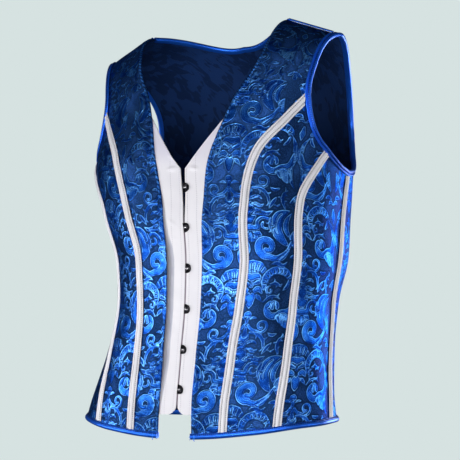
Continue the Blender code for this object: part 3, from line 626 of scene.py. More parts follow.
def sampled(table, row, column):
    """Value between four neighbours of a table, weighted by nearness, at fractional rows and columns."""
    i = np.clip(np.floor(row).astype(int), 0, table.shape[0] - 2)
    j = np.clip(np.floor(column).astype(int), 0, table.shape[1] - 2)
    v, u = row - i, column - j
    return ((table[i, j] * (1 - u) + table[i, j + 1] * u) * (1 - v)
            + (table[i + 1, j] * (1 - u) + table[i + 1, j + 1] * u) * v)


def length_round(angle, rise):
    return sampled(ring_lengths, (rise - table_rises[0]) / RISE_STEP, (angle - table_angles[0]) / ROUND_STEP)


def woven(grain, angle, rise):
    """Distance, tone and lean of the damask, lean being the slope that paints light and shade on the motifs:
    cloth lengths mirrored about the mirror axes of the card.
    """
    up = rise * 1000
    across = (length_round(angle, rise) - (grain.high + (grain.high - grain.low) * up / 300)) / CARD_SCALE
    down = ((grain.tip - up) / CARD_SCALE) % TALL
    across = np.abs((across + HALF_WIDE) % (2 * HALF_WIDE) - HALF_WIDE)
    wrapped = [np.concatenate([card, card[:2]]) for card in (figure, tone, lean)]
    return [sampled(card, down / CARD_STEP, across / CARD_STEP) for card in wrapped]


print("round the hem", np.round(ring_lengths[0, -2] - ring_lengths[0, 1]), "mm")

# %% [markdown]
# ## Meshes from whole arrays
#
# Every piece below is a grid of points worked out at once and handed to the mesh in one go. A sewn panel
# is a thin wall: an outer face with all the detail, a half-round turned edge, and a coarser inner face,
# since nobody looks closely inside. Two triangles of the edge meet one of the inner face, like a zip.

# %% Mesh, grid and wall helpers


def volume(points, triangles):
    """Six times the volume inside closed triangles: positive when their faces look outwards."""
    a, b, c = (points[triangles[:, k]] for k in range(3))
    return (a * np.cross(b, c)).sum()


def made(name, points, triangles, values=None, crease=55):
    """Mesh object from arrays of points and triangles, faces outwards, with values at its points."""
    if volume(points, triangles) < 0:
        triangles = triangles[:, ::-1]
    mesh = bpy.data.meshes.new(name)
    mesh.vertices.add(len(points))
    mesh.vertices.foreach_set("co", np.ascontiguousarray(points, np.float32).ravel())
    mesh.loops.add(triangles.size)
    mesh.loops.foreach_set("vertex_index", np.ascontiguousarray(triangles, np.int32).ravel())
    mesh.polygons.add(len(triangles))
    mesh.polygons.foreach_set("loop_start", np.arange(0, triangles.size, 3, dtype=np.int32))
    mesh.update(calc_edges=True)
    mesh.shade_smooth()
    mesh.set_sharp_from_angle(angle=math.radians(crease))
    for key, value in (values or {}).items():
        kind, field = ("FLOAT_VECTOR", "vector") if value.ndim > 1 else ("FLOAT", "value")
        layer = mesh.attributes.new(key, kind, "POINT")
        layer.data.foreach_set(field, np.ascontiguousarray(value, np.float32).ravel())
    thing = bpy.data.objects.new(name, mesh)
    bpy.context.scene.collection.objects.link(thing)
    return thing


def quads(a, b, c, d):
    """Two triangles for each set of four point numbers."""
    a, b, c, d = (np.ravel(x) for x in (a, b, c, d))
    return np.concatenate([np.stack([a, b, c], 1), np.stack([a, c, d], 1)])


def grid_faces(ids):
    return quads(ids[:-1, :-1], ids[:-1, 1:], ids[1:, 1:], ids[1:, :-1])


def border(ids):
    """Point numbers once round the rim of a grid, from its first corner."""
    return np.concatenate([ids[0, :-1], ids[:-1, -1], ids[-1, :0:-1], ids[:0:-1, 0]])


def wall(name, outer, inner, roll, values, crease=55):
    """A closed wall: outer grid, rim ring pushed out by roll, and every second point of the inner grid."""
    rows, columns = outer.shape[:2]
    ids = np.arange(rows * columns).reshape(rows, columns)
    coarse = inner[::2, ::2]
    rim = border(ids)
    middle = rows * columns + np.arange(len(rim))
    back = middle[-1] + 1 + np.arange(coarse.shape[0] * coarse.shape[1]).reshape(coarse.shape[:2])
    inside = border(np.pad(ids[1:-1, 1:-1], 1, mode="edge"))
    flat, below = outer.reshape(-1, 3), inner.reshape(-1, 3)
    out = unit(flat[rim] - flat[inside]) * roll
    points = np.concatenate([flat, (flat[rim] + below[rim]) / 2 + out, coarse.reshape(-1, 3)])
    nxt, loop = np.roll(middle, -1), border(back)
    first, second, third = middle[::2], middle[1::2], np.roll(middle[::2], -1)
    after = np.roll(loop, -1)
    faces = [grid_faces(ids), quads(rim, middle, nxt, np.roll(rim, -1)), grid_faces(back)[:, ::-1],
             np.stack([first, loop, second], 1), np.stack([second, loop, after], 1),
             np.stack([second, after, third], 1)]
    kept = np.concatenate([ids.ravel(), rim, ids[::2, ::2].ravel()])
    values = {key: value.reshape(rows * columns, -1)[kept].squeeze() for key, value in values.items()}
    if "cloth" in values:
        values["cloth"][-coarse.shape[0] * coarse.shape[1]:, 2] = 1
    return made(name, points, np.concatenate(faces), values, crease)


def trimmed(grid, side, gap):
    """Draw one side of a grid in by a gap measured square to that side."""
    order = {"left": (0, 1), "right": (-1, -2), "bottom": (0, 1), "top": (-1, -2)}[side]
    g = grid if side in ("left", "right") else grid.transpose(1, 0, 2)
    g = g.copy()
    edge, inner = g[:, order[0]], g[:, order[1]]
    p, q = surface(edge[..., 0], edge[..., 1]), surface(inner[..., 0], inner[..., 1])
    along = unit(np.gradient(p, axis=0))
    across = q - p
    square = np.linalg.norm(across - along * (across * along).sum(-1, keepdims=True), axis=-1)
    g[:, order[0]] = edge + (inner - edge) * (gap / square)[:, None]
    return g if side in ("left", "right") else g.transpose(1, 0, 2)


def mirrored(grid, side):
    """Turn unsigned angles into the signed ones of one side, columns always to the wearer's left."""
    grid = grid.copy()
    grid[..., 0] *= side
    return grid if side > 0 else grid[:, ::-1]


print("mesh helpers ready")

# %% [markdown]
# ## Brocade panels
#
# Five shaped panels a side make the cloth. Sewing draws the cloth up a little between the stitches, so
# small puckers stand beside the seams, and the free front and neck edges are turned in and roll over.
# Both are low relief along the outward direction, added before the mesh is made.

# %% Relief of the sewn cloth, and the panels
PUCKER, PUCKER_REACH = 0.17, 6.0         # mm high, and mm from the seam where a pucker is highest
PUCKER_PITCH = 0.0095                    # m from one pucker to the next
SWELL = 0.35                             # mm of slow unevenness between the seams
TURNED, TURNED_WIDE = 0.75, 1.6          # mm down and mm wide, where a free edge rolls over
PANEL_ROLL = 0.00012                     # m that the middle of a panel's cut edge bulges


def relief(from_left, from_right, rise, phase):
    """Millimetres off the form: waves along a seam that are highest a little way from it, on a slow swell."""
    height = 0
    for away, shift in ((from_left, 0.0), (from_right, 2.1)):
        near = (away / PUCKER_REACH) ** 2 * np.exp(1 - (away / PUCKER_REACH) ** 2)
        wave = np.sin(2 * math.pi * rise / PUCKER_PITCH + shift + phase + 1.3 * np.sin(rise * 41 + phase))
        height = height + PUCKER * near * wave
    swell = np.sin(rise * 62 + from_left * 0.05 + phase) * np.sin(rise * 23 + from_left * 0.09 + 1)
    return height + SWELL * swell * np.clip(np.minimum(from_left, from_right) / 9, 0, 1)


def brocade(name, grid, side, gaps, phase, free=()):
    """One panel: seam sides drawn in, signed, lifted by its relief, with the damask at its points."""
    for which in gaps:
        grid = trimmed(grid, which, SEAM / 2)
    grid = mirrored(grid, side)
    angle, rise = grid[..., 0], grid[..., 1]
    length = length_round(angle, rise)
    out = normals(angle, rise)
    bare = surface(angle, rise)
    height = relief(length - length[:, :1], length[:, -1:] - length, rise, phase)
    steps = np.linalg.norm(np.diff(bare, axis=1), axis=-1) * 1000
    across = np.concatenate([np.zeros((len(steps), 1)), np.cumsum(steps, axis=1)], axis=1)
    for edge in free:
        away = across if edge * side > 0 else across[:, -1:] - across
        turn = np.clip(1 - away / TURNED_WIDE, 0, 1)
        height = height * np.clip(away / 5, 0, 1) - TURNED * (1 - np.sqrt(1 - turn ** 2 * 0.98))
    outer = bare + out * height[..., None] / 1000
    woven_here = woven(GRAIN[name.replace("brocade_", "")], angle, rise)
    cloth = np.stack([length, rise * 1000, 0 * length], -1)
    # lean carries the slope that paints a lit side and a shaded side on each motif
    values = {"figure": woven_here[0], "tone": woven_here[1], "lean": woven_here[2], "cloth": cloth,
              "hemmed": np.full(angle.shape, 50.0)}
    if free:
        values["hemmed"] = across if free[0] * side > 0 else across[:, -1:] - across
    return wall(name, outer, bare - WALL * out, PANEL_ROLL, values)


panel_pieces = []
for side, tag in TAGS.items():
    cut = CUT[side]
    shoulder = slice(0, SHOULDER_COLUMNS + 1)
    cut["back_piece"] = cut["back"].copy()
    cut["back_piece"][SEAM_ROWS:, shoulder] = trimmed(cut["back"][SEAM_ROWS:, shoulder], "top", SEAM / 2)
    for order, (piece, gaps, free) in enumerate((("front", ["right", "top"], (1,)),
                                                 ("side_front", ["left", "right"], ()),
                                                 ("side", ["left", "right"], ()),
                                                 ("side_back", ["left", "right"], ()),
                                                 ("back", ["left", "right"], ()))):
        grid = cut["back_piece" if piece == "back" else piece]
        panel = brocade(f"brocade_{piece}_{tag}", grid, side, gaps, 1.7 * order + side, free)
        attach(panel, "root")
        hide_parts(f"{piece}_{tag}")
        panel_pieces.append(panel)
        print(panel.name, len(panel.data.polygons), "triangles")

# %% [markdown]
# ## Bindings folded over the edges
#
# A binding is a satin strip folded over a raw edge and stitched down. Its section is a thick C, drawn as
# two lines with the same number of points: the outside, which rolls, and the inside, which hugs the cloth.
# The section travels along the edge, and where an edge turns, its frame turns with it. On the armhole a
# stitched groove parts the roll from a narrow ridge. The hem binding is cut off raw at the front edges, so a
# few of its threads hang loose there: thin tubes in the same mesh, marked by a number at their points.

# %% Sections in mm: out of the cloth's face, and up the cloth from its edge
HEM_OUTSIDE = [(0.7, 5.1), (1.5, 5.0), (1.75, 4.2), (2.3, 3.0), (2.85, 1.4), (2.6, -0.6), (1.4, -2.0),
               (-0.7, -2.5), (-2.5, -1.9), (-3.5, -0.2), (-3.6, 2.2), (-3.4, 4.2), (-2.9, 4.6)]
HEM_INSIDE = [(0.5, 4.6), (0.35, 2.5), (0.3, 0.4), (0.0, -0.3), (-0.9, -0.5), (-1.7, -0.2), (-1.9, 1.5),
              (-2.4, 4.2)]
ARM_OUTSIDE = [(0.7, 5.6), (1.5, 5.6), (2.0, 5.1), (1.95, 4.3), (1.55, 3.9), (0.95, 3.2), (1.05, 2.7),
               (2.1, 2.2), (2.75, 1.0), (2.75, -0.3), (1.9, -1.5), (0.4, -2.1), (-1.4, -2.1), (-2.8, -1.0),
               (-3.4, 0.9), (-3.5, 3.8)]
ARM_INSIDE = [(0.55, 5.2), (0.4, 4.0), (0.35, 2.0), (0.3, 0.2), (0.0, -0.3), (-0.9, -0.5), (-1.7, -0.2),
              (-2.5, 3.6)]
NECK_OUTSIDE = [(0.9, 4.8), (1.7, 4.8), (2.3, 3.9), (2.5, 1.8), (2.0, -0.4), (0.6, -1.8), (-1.2, -2.2),
                (-2.7, -1.2), (-3.5, 0.6), (-3.6, 4.2)]
NECK_INSIDE = [(0.6, 4.4), (0.4, 2.5), (0.3, 0.3), (0.0, -0.3), (-0.9, -0.5), (-1.7, -0.2), (-2.5, 4.2)]


def even_curve(points, count):
    """Count points spaced evenly by length on the smooth line through a few."""
    line = flowing(points, 0.05)
    return line[np.round(np.linspace(0, len(line) - 1, count)).astype(int)]


def section(outside, inside, count):
    """Closed section of two lines with equal counts, the second one backwards."""
    return np.concatenate([even_curve(outside, count), even_curve(inside, count)[::-1]])


def swept(name, rings, closed=False, crease=50, threads=()):
    """A body through rings of points: its ends are capped across its section's two lines, or joined.

    The attribute strip holds mm along it, 0 to 2 round its section, and 1 on a loose thread."""
    count, size = rings.shape[:2]
    ids = np.arange(count * size).reshape(count, size)
    if closed:
        ids = np.concatenate([ids, ids[:1]])
    ids = np.concatenate([ids, ids[:, :1]], axis=1)
    faces = [grid_faces(ids)]
    if not closed:
        near, far = np.arange(size // 2 - 1), size - 1 - np.arange(size // 2 - 1)
        for ring, flip in ((ids[0], -1), (ids[-1], 1)):
            faces.append(quads(ring[near], ring[near + 1], ring[far - 1], ring[far])[:, ::flip])
    flat = rings.reshape(-1, 3)
    middle = rings.mean(1)
    steps = np.linalg.norm(np.diff(middle, axis=0), axis=-1) * 1000
    run = np.concatenate([[0], np.cumsum(steps)])
    half = np.arange(size // 2) / (size // 2 - 1)
    girth = np.concatenate([half, 2 - half])
    strip = np.stack([np.repeat(run, size), np.tile(girth, count), np.zeros(count * size)], 1)
    faces = np.concatenate(faces)
    if volume(flat, faces) < 0:
        faces = faces[:, ::-1]
    for tube in threads:
        ids = len(flat) + np.arange(tube.shape[0] * tube.shape[1]).reshape(tube.shape[:2])
        flat = np.concatenate([flat, tube.reshape(-1, 3)])
        around = grid_faces(np.concatenate([ids, ids[:, :1]], axis=1))
        faces = np.concatenate([faces, around if volume(flat, around) > 0 else around[:, ::-1]])
        strip = np.concatenate([strip, np.tile([0, 0.5, 1], (ids.size, 1))])
    return made(name, flat, faces, {"strip": strip}, crease)


def frames(edge, inner, outward, closed=False):
    """Along, outward and inward directions at the points of a cloth's edge."""
    along = unit(np.roll(edge, -1, 0) - np.roll(edge, 1, 0)) if closed else unit(np.gradient(edge, axis=0))
    across = inner - edge
    across = unit(across - along * (across * along).sum(-1, keepdims=True))
    out = unit(np.cross(along, across))
    return along, out * np.sign((out * outward).sum(-1, keepdims=True)), across


def bound(edge, inner, outward, shape, closed=False):
    """Rings of a binding: every point of the section carried along the edge."""
    out, across = frames(edge, inner, outward, closed)[1:]
    return edge[:, None] + (out[:, None] * shape[None, :, :1] + across[:, None] * shape[None, :, 1:]) / 1000


print("sections of", len(HEM_OUTSIDE), "and", len(ARM_OUTSIDE), "drawn points")

# %% Armhole bindings and shoulder pipings
trim_pieces = []


def trim(piece, *nodes):
    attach(piece, "root")
    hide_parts(*nodes)
    trim_pieces.append(piece)
    print(piece.name, len(piece.data.polygons), "triangles")


def softened(points, times, closed):
    """Even out small kinks: each point moves to the mean of itself and its neighbours, some times over."""
    for _ in range(times):
        before, after = np.roll(points, 1, 0), np.roll(points, -1, 0)
        mean = points / 2 + (before + after) / 4
        if not closed:
            mean[0], mean[-1] = points[0], points[-1]
        points = mean
    return points


ARM_SECTION = section(ARM_OUTSIDE, ARM_INSIDE, 26)
PIPING_SECTION = section([(-2.0, 0.3), (-2.1, 1.1), (-1.3, 2.1), (0.0, 2.5), (1.3, 2.1), (2.1, 1.1),
                          (2.0, 0.3)], [(-1.9, 0.25), (0, 0.2), (1.9, 0.25)], 12)
PIPING_START, PIPING_SHORT = 0.0008, 0.0106      # m from the neck's end, and m short of the armhole's edge
for side, tag in TAGS.items():
    cut = CUT[side]
    front, one, two, three, back = (cut[n] for n in ("front", "side_front", "side", "side_back", "back"))
    n, c = SEAM_ROWS, PANEL_COLUMNS
    arm = np.concatenate([front[:n - 1:-1, -1], one[-1, 1:], two[-1, 1:], three[-1, 1:], back[n + 1:-1, 0]])
    inner = np.concatenate([front[:n - 1:-1, -4], one[-4, 1:], two[-4, 1:], three[-4, 1:], back[n + 1:-1, 3]])
    points, inside = placed(arm, side), placed(inner, side)
    toward = softened(unit(inside - points), 24, True)
    outward = softened(normals(side * arm[:, 0], arm[:, 1]), 10, True)
    rings = bound(points, points + toward * 0.003, outward, ARM_SECTION, True)
    trim(swept(f"armhole_satin_{tag}", rings, True), f"armhole_binding_{tag}")

    seam = front[-1]
    ridge = placed(seam, side)
    run = np.linalg.norm(ridge - ridge[0], axis=-1)
    keep = np.linspace(PIPING_START, run[-1] - PIPING_SHORT, 60)
    ridge = np.stack([np.interp(keep, run, ridge[:, k]) for k in range(3)], -1)
    up = np.stack([np.interp(keep, run, normals(side * seam[:, 0], seam[:, 1])[:, k]) for k in range(3)], -1)
    along = unit(np.gradient(ridge, axis=0))
    across = unit(np.cross(along, up))
    rings = ridge[:, None] + (across[:, None] * PIPING_SECTION[None, :, :1]
                              + up[:, None] * PIPING_SECTION[None, :, 1:]) / 1000
    trim(swept(f"shoulder_satin_{tag}", rings), f"shoulder_piping_{tag}")

# %% Hem bindings and the back-neck binding
HEM_SECTION, NECK_SECTION = section(HEM_OUTSIDE, HEM_INSIDE, 24), section(NECK_OUTSIDE, NECK_INSIDE, 22)


def across_back(pick):
    """Join an edge of the wearer's left with its counterpart on the right, meeting at the centre back."""
    parts = []
    for side in (1, -1):
        edge, inner = pick(CUT[side])
        points, inside = placed(edge, side), placed(inner, side)
        out = normals(side * edge[:, 0], edge[:, 1])
        parts.append([points, inside, out] if side > 0 else [points[-2::-1], inside[-2::-1], out[-2::-1]])
    return [np.concatenate(pair) for pair in zip(*parts)], len(parts[0][0]) - 1


def hem_edge(cut):
    grids = [cut[n] for n in ("front", "side_front", "side", "side_back", "back")]
    edge = np.concatenate([g[0, (0 if i == 0 else 1):] for i, g in enumerate(grids)])
    return edge, np.concatenate([g[3, (0 if i == 0 else 1):] for i, g in enumerate(grids)])


def neck_edge(cut):
    return cut["back"][-1, SHOULDER_COLUMNS:], cut["back"][-4, SHOULDER_COLUMNS:]


Thread = namedtuple("Thread", "behind start length slant")       # mm back from the end, up, down, and back
THREADS = [Thread(5.0, 4.2, 8.6, 0.9), Thread(3.6, 1.6, 5.8, 2.0), Thread(0.5, 3.0, 2.6, -1.7),
           Thread(0.6, 0.6, 3.4, -1.2), Thread(6.4, 2.2, 5.6, -1.0)]
THREAD_RADIUS = 0.00026


def loose_threads(end, back, out, up):
    """Tubes: each starts a little back from the end and up the cloth, and hangs down with a slant."""
    t = np.linspace(0, 1, 14)[:, None]
    turn = np.linspace(0, 2 * math.pi, 7)[:-1, None]
    radius = THREAD_RADIUS * np.sqrt(1 - 0.998 * (2 * t - 1) ** 6)
    lifted = 1.7 + 1.5 * np.sin(math.pi * t * 0.75)
    tubes = []
    for thread in THREADS:
        behind, above = thread.behind + thread.slant * t ** 1.4, thread.start - thread.length * t
        line = end + (back * behind + up * above + out * lifted) / 1000
        tubes.append(line[:, None] + radius[:, None] * (back * np.cos(turn) + out * np.sin(turn)))
    return tubes


(edge, inner, outward), middle = across_back(hem_edge)
along, out, across = frames(edge, inner, outward)
rings = bound(edge, inner, outward, HEM_SECTION)
halves = ("left", slice(None, middle + 1), -SEAM / 2), ("right", slice(middle, None), SEAM / 2)
for tag, part, shift in halves:
    half = rings[part].copy()
    half[-1 if tag == "left" else 0] += along[middle] * shift
    end = 0 if tag == "left" else -1
    threads = loose_threads(edge[end], along[end] * (1 if tag == "left" else -1), out[end], across[end])
    trim(swept(f"hem_satin_{tag}", half, threads=threads), f"hem_binding_{tag}")

NECK_START = 0.0032      # the neck binding starts this far from the shoulder seam
(edge, inner, outward), middle = across_back(neck_edge)
for end, step in ((0, 3), (-1, -4)):
    start = unit(edge[step] - edge[end]) * NECK_START
    edge[end], inner[end] = edge[end] + start, inner[end] + start
keep = np.ones(len(edge), bool)
keep[[1, 2, -2, -3]] = False
edge, inner, outward = edge[keep], inner[keep], outward[keep]
trim(swept("back_neck_satin", bound(edge, inner, outward, NECK_SECTION)), "back_neck_binding")

# %% [markdown]
# ## Boning channels
#
# Over each seam lies a white satin channel with a flat bone in its middle. Two lines of stitches hold it
# down on both sides of the bone, so the section has a folded edge, a flat flange, a groove, and the rib
# over the bone. At both ends the binding crosses the channel, so the rings are cut along its line.

# %% Channels over the three visible seams of each side
CHANNEL_RISING = [(-5.2, 0.75), (-5.25, 1.3), (-4.9, 1.8), (-4.3, 1.8), (-3.5, 1.2), (-2.9, 0.55),
                  (-2.5, 0.6), (-2.1, 1.7), (-1.3, 2.6)]
CHANNEL_TOP = CHANNEL_RISING + [(0, 2.9)] + [(-across, up) for across, up in CHANNEL_RISING[::-1]]
CHANNEL_UNDER = [(-5.0, 0.55), (-2.5, 0.45), (0, 0.4), (2.5, 0.45), (5.0, 0.55)]
CHANNEL_SECTION = section(CHANNEL_TOP, CHANNEL_UNDER, 34)
FOOT_CLEAR, HEAD_CLEAR = 0.0053, 0.0059  # m from a seam's ends, where the bindings cross it


def channel(points, outward, ends):
    """Rings of a channel over a seam, each end cut along the direction of the binding that crosses it."""
    along = unit(np.gradient(points, axis=0))
    across = unit(np.cross(along, outward))
    out = unit(np.cross(across, along))
    out = out * np.sign((out * outward).sum(-1, keepdims=True))
    rings = points[:, None] + (across[:, None] * CHANNEL_SECTION[None, :, :1]
                               + out[:, None] * CHANNEL_SECTION[None, :, 1:]) / 1000
    for line, clear in ends:
        square = unit(np.cross(out[0], line))
        square = square * np.sign((square * along[0]).sum())
        past = ((rings - points[0]) * square).sum(-1) - clear
        i = np.maximum(np.argmax(past > 0, axis=0), 1)
        k = np.arange(rings.shape[1])
        t = (past[i - 1, k] / (past[i - 1, k] - past[i, k]))[:, None]
        cut_ring = rings[i - 1, k] + (rings[i, k] - rings[i - 1, k]) * t
        rings = np.concatenate([cut_ring[None], rings[past.min(axis=1) > 0.0008]])[::-1]
        points, along, out = points[::-1], -along[::-1], out[::-1]
    return rings


for side, tag in TAGS.items():
    cut = CUT[side]
    front, one, two, three = (cut[n] for n in ("front", "side_front", "side", "side_back"))
    heads = {"princess": (front[SEAM_ROWS + 8, -1], one[-1, 14]), "side_front": (one[-1, -15], two[-1, 14]),
             "side": (two[-1, -15], three[-1, 14])}
    for name, head in heads.items():
        curve = np.stack(cut["seams"][name], -1)
        out = normals(side * curve[:, 0], curve[:, 1])
        beside = curve[0, 0] + np.array([-0.05, 0.05])
        hem_line = np.diff(surface(side * beside, hem_rise(beside)), axis=0)[0]
        head_line = placed(head[1], side) - placed(head[0], side)
        ends = (unit(hem_line), FOOT_CLEAR), (unit(head_line), HEAD_CLEAR)
        rings = channel(placed(curve, side), out, ends)
        trim(swept(f"satin_channel_{name}_{tag}", rings, crease=60), f"channel_{name}_{tag}")

# %% [markdown]
# ## Busk plackets
#
# Under the open brocade edges lie two white satin plackets that meet at the busk. Each is a patch between
# the busk line, a rounded foot, the V of the neckline and a margin hidden under the brocade. The steel of
# the busk keeps them flat near the middle; beside the brocade's edge on the wearer's right the satin
# folds down into a crease, painted grey as shade, and a few short wrinkles run from it.

# %% Placket grids and their relief
FIRST_STUD, STUD_PITCH, STUDS = -0.2013, 0.0478, 6
PLACKET_FOOT, V_POINT, V_TOP = -0.4715, -0.178, -0.0865      # levels of the foot, and of the V's two ends
PLACKET_MARGIN, UNDER = 0.012, 0.0020    # hidden under the brocade, and the face's depth below it
PLACKET_WALL, PLACKET_ROLL = 0.0016, 0.0001
TOP_GAP, TOP_GAP_FOOT = 0.0058, -0.262   # the plackets part towards the V, from this level up
FOOT_GAP, FOOT_GAP_TOP, FOOT_GAP_HIGH = 0.0016, -0.446, 0.024
CORNER_HIGH, CORNER_WIDE = 0.0125, 0.36  # round corner at the foot: its height, and its share of the width
PLACKET_ROWS, PLACKET_COLUMNS = 240, 72
FOLD = [Edge(-150, 0.0), Edge(-203, 0.8), Edge(-216, 2.4), Edge(-234, 3.8), Edge(-258, 5.8), Edge(-272, 8.6),
        Edge(-290, 9.8), Edge(-323, 9.2), Edge(-400, 8.8), Edge(-430, 6.0), Edge(-460, 2.5), Edge(-480, 0.0)]
FOLD_AT, FOLD_DEPTH = smooth(FOLD, "out"), 5.6
Crease = namedtuple("Crease", "level from_busk high wide slope")      # level in m, the rest in mm, slope up
CREASES = [Crease(-0.164, 14, 1.5, 2.6, 0.4), Crease(-0.178, 14, 1.6, 2.4, -0.1),
           Crease(-0.243, 16, 0.5, 2.8, 0.5), Crease(-0.262, 13, 0.35, 2.4, 0.2),
           Crease(-0.300, 12, 0.3, 3.0, -0.2), Crease(-0.352, 14, 0.3, 3.0, 0.3)]


def placket_grid(side):
    """Sideways places and levels of one placket, from the busk line to its hidden margin."""
    levels = level_of(np.linspace(rise_of(PLACKET_FOOT), rise_of(V_POINT), PLACKET_ROWS + 1))
    opening = np.clip((levels - TOP_GAP_FOOT) / (V_POINT - TOP_GAP_FOOT), 0, 1) ** 0.9 * (TOP_GAP / 2)
    opening = opening + np.clip((FOOT_GAP_TOP - levels) / FOOT_GAP_HIGH, 0, 1) ** 1.5 * (FOOT_GAP / 2)
    busk_x = busk_line(levels) + side * (SEAM / 2 + opening)
    outer_levels = spaced(PLACKET_FOOT, V_TOP, PLACKET_ROWS)
    outer_x = front_edge(side, outer_levels) + side * PLACKET_MARGIN
    part = spaced(0, 1, PLACKET_COLUMNS)
    v_levels = levels[-1] + (V_TOP - levels[-1]) * part
    v_x = (MIDDLE_AT(v_levels * 1000) + side * V_AT(v_levels * 1000)) / 1000
    v_x = v_x + (busk_x[-1] - v_x[0]) * (1 - part) + (outer_x[-1] - v_x[-1]) * part ** 4
    foot_x = spaced(busk_x[0], outer_x[0], PLACKET_COLUMNS)
    corner = np.clip(1 - part / CORNER_WIDE, 0, 1)
    foot_levels = PLACKET_FOOT + CORNER_HIGH * (1 - np.sqrt(1 - corner ** 2 * 0.995))
    levels[0] = foot_levels[0]
    levels = np.maximum(levels, levels[0] + np.arange(len(levels)) * 1e-6)
    grid = coons((busk_x, levels), (outer_x, outer_levels), (foot_x, foot_levels), (v_x, v_levels))
    return grid if side > 0 else grid[:, ::-1]


def placket_relief(side, x, level):
    """Height in mm: a rolled busk edge, a fold down towards the brocade on the right, and short creases."""
    from_busk = np.abs(x - busk_line(level)) * 1000
    to_brocade = (front_edge(side, level) - x) * side * 1000
    height = -0.7 * np.exp(-(from_busk / 1.1) ** 2) + 0.25 * np.exp(-((from_busk - 3.2) / 1.6) ** 2)
    if side < 0:
        width = np.maximum(FOLD_AT(level * 1000), 1e-3)
        drop = np.clip((width - to_brocade) / width, 0, 1.6)
        drop = np.minimum(drop, 1) + 0.2 * np.clip(drop - 1, 0, 1)
        height = height - FOLD_DEPTH * np.clip(width / 12, 0, 1) * drop
    for crease in (CREASES if side < 0 else CREASES[1:2]):
        beside = from_busk - crease.from_busk
        ridge = (level - crease.level) * 1000 - crease.slope * beside
        height = height + crease.high * np.exp(-(ridge / crease.wide) ** 2) * np.exp(-(beside / 5) ** 2)
    return height


for side, tag in TAGS.items():
    grid = placket_grid(side)
    x, level = grid[..., 0], grid[..., 1]
    angle, rise = angle_at(x, level), rise_of(level)
    out = normals(angle, rise)
    bed = surface(angle, rise) - UNDER * out
    face = bed + out * placket_relief(side, x, level)[..., None] / 1000
    run = np.stack([x - busk_line(level), level, (front_edge(side, level) - x) * side], -1) * 1000
    # share of painted shade on the fold's facet beside the brocade, from 0 to 1
    folded = np.zeros(x.shape)
    if side < 0:
        width = FOLD_AT(level * 1000)
        folded = np.clip(width - run[..., 2] + 0.5, 0, 1) * np.clip((width - 2) / 6, 0, 1)
    back = face - PLACKET_WALL * out
    piece = wall(f"placket_satin_{tag}", face, back, PLACKET_ROLL, {"run": run, "folded": folded})
    trim(piece, f"placket_{tag}")

# %% [markdown]
# ## Busk loops and studs
#
# The busk closes with steel loops on one placket that hook over studs on the other. A loop shows as a
# pressed D with its straight side sewn in at the slit and a dish for the stud. A stud is turned: a short
# neck and a domed head. Both are drawn once, in their own small frame, and set at six places.

# %% Six loops over six studs
LOOP_REACH, LOOP_HALF, LOOP_CENTRE = 7.4, 5.9, 2.7   # mm from the slit, half height, the dish's middle
LOOP_SECTION = [(0.97, 0.3), (1.0, 0.75), (0.99, 1.3), (0.93, 1.8), (0.82, 2.0), (0.68, 1.8), (0.56, 1.35),
                (0.5, 1.1)]              # share of the outline, and mm high
STUD_SECTION = [(0.0, 3.9), (0.7, 3.85), (1.4, 3.6), (2.0, 3.1), (2.35, 2.5), (2.3, 2.1), (1.8, 1.9),
                (1.4, 1.7), (1.3, 0.3)]  # mm from the axis, and mm high
STUD_CENTRE = 3.2        # mm from the slit


def busk_place(level):
    """Point on the plackets' face at the busk line, with the directions out, up and to the wearer's left."""
    angle, rise = angle_at(busk_line(level), level), rise_of(level)
    out = normals(angle, rise)
    up = surface(angle, rise + 0.001) - surface(angle, rise - 0.001)
    up = unit(up - out * (up * out).sum())
    left = unit(np.cross(up, out))
    return surface(angle, rise) - UNDER * out, left * np.sign(left[0]), up, out


def set_at(place, left, up, out, local):
    """Points from millimetres in the busk's small frame to the vest's frame."""
    return place + (local[..., :1] * left + local[..., 1:2] * up + local[..., 2:] * out) / 1000


def loop_rings(count=40):
    """Rings of the dished D: a half oval with its straight side on the slit, shrunk and lifted in steps."""
    line = even_curve(LOOP_SECTION, 14)
    t = np.linspace(0, 2 * math.pi, count + 1)[:-1]
    c, s = np.cos(t), np.sin(t)
    x = np.where(c > 0, LOOP_REACH * np.maximum(c, 0) ** 0.9, 0.3 * c) - LOOP_CENTRE
    y = LOOP_HALF * np.sign(s) * np.abs(s) ** 0.8
    flat = np.stack([x, y], -1) * line[:, None, :1] + (LOOP_CENTRE, 0)
    return np.concatenate([flat, np.broadcast_to(line[:, None, 1:], (len(line), count, 1))], -1)


def turned_grid(profile, centre, count=28):
    """Surface turned about the stud's axis: each profile point goes once round."""
    line = even_curve(profile, 22)
    t = np.linspace(0, 2 * math.pi, count + 1)[:-1]
    r = np.maximum(line[:, :1], 1e-4)
    high = np.broadcast_to(line[:, 1:], (len(line), count))
    return np.stack([centre + r * np.cos(t), r * np.sin(t), high], -1)


def capped(name, rings):
    """A round body through rings, each end closed to its middle point."""
    count, size = rings.shape[:2]
    ids = np.arange(count * size).reshape(count, size)
    around = np.concatenate([ids, ids[:, :1]], axis=1)
    first, last = count * size, count * size + 1
    fan = [np.stack([around[0, 1:], around[0, :-1], np.full(size, first)], 1),
           np.stack([around[-1, :-1], around[-1, 1:], np.full(size, last)], 1)]
    points = np.concatenate([rings.reshape(-1, 3), rings[:1].mean(1), rings[-1:].mean(1)])
    return made(name, points, np.concatenate([grid_faces(around)] + fan), None, 40)


metal_pieces = []
for k in range(STUDS):
    spot = busk_place(FIRST_STUD - k * STUD_PITCH)
    loop = capped(f"steel_loop_{k + 1}", set_at(*spot, loop_rings()))
    stud = capped(f"domed_stud_{k + 1}", set_at(*spot, turned_grid(STUD_SECTION, STUD_CENTRE)))
    for piece, node in ((loop, "loop"), (stud, "stud")):
        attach(piece, "root")
        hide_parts(f"busk_{node}_{k + 1}")
        metal_pieces.append(piece)
print(len(metal_pieces), "metal pieces")

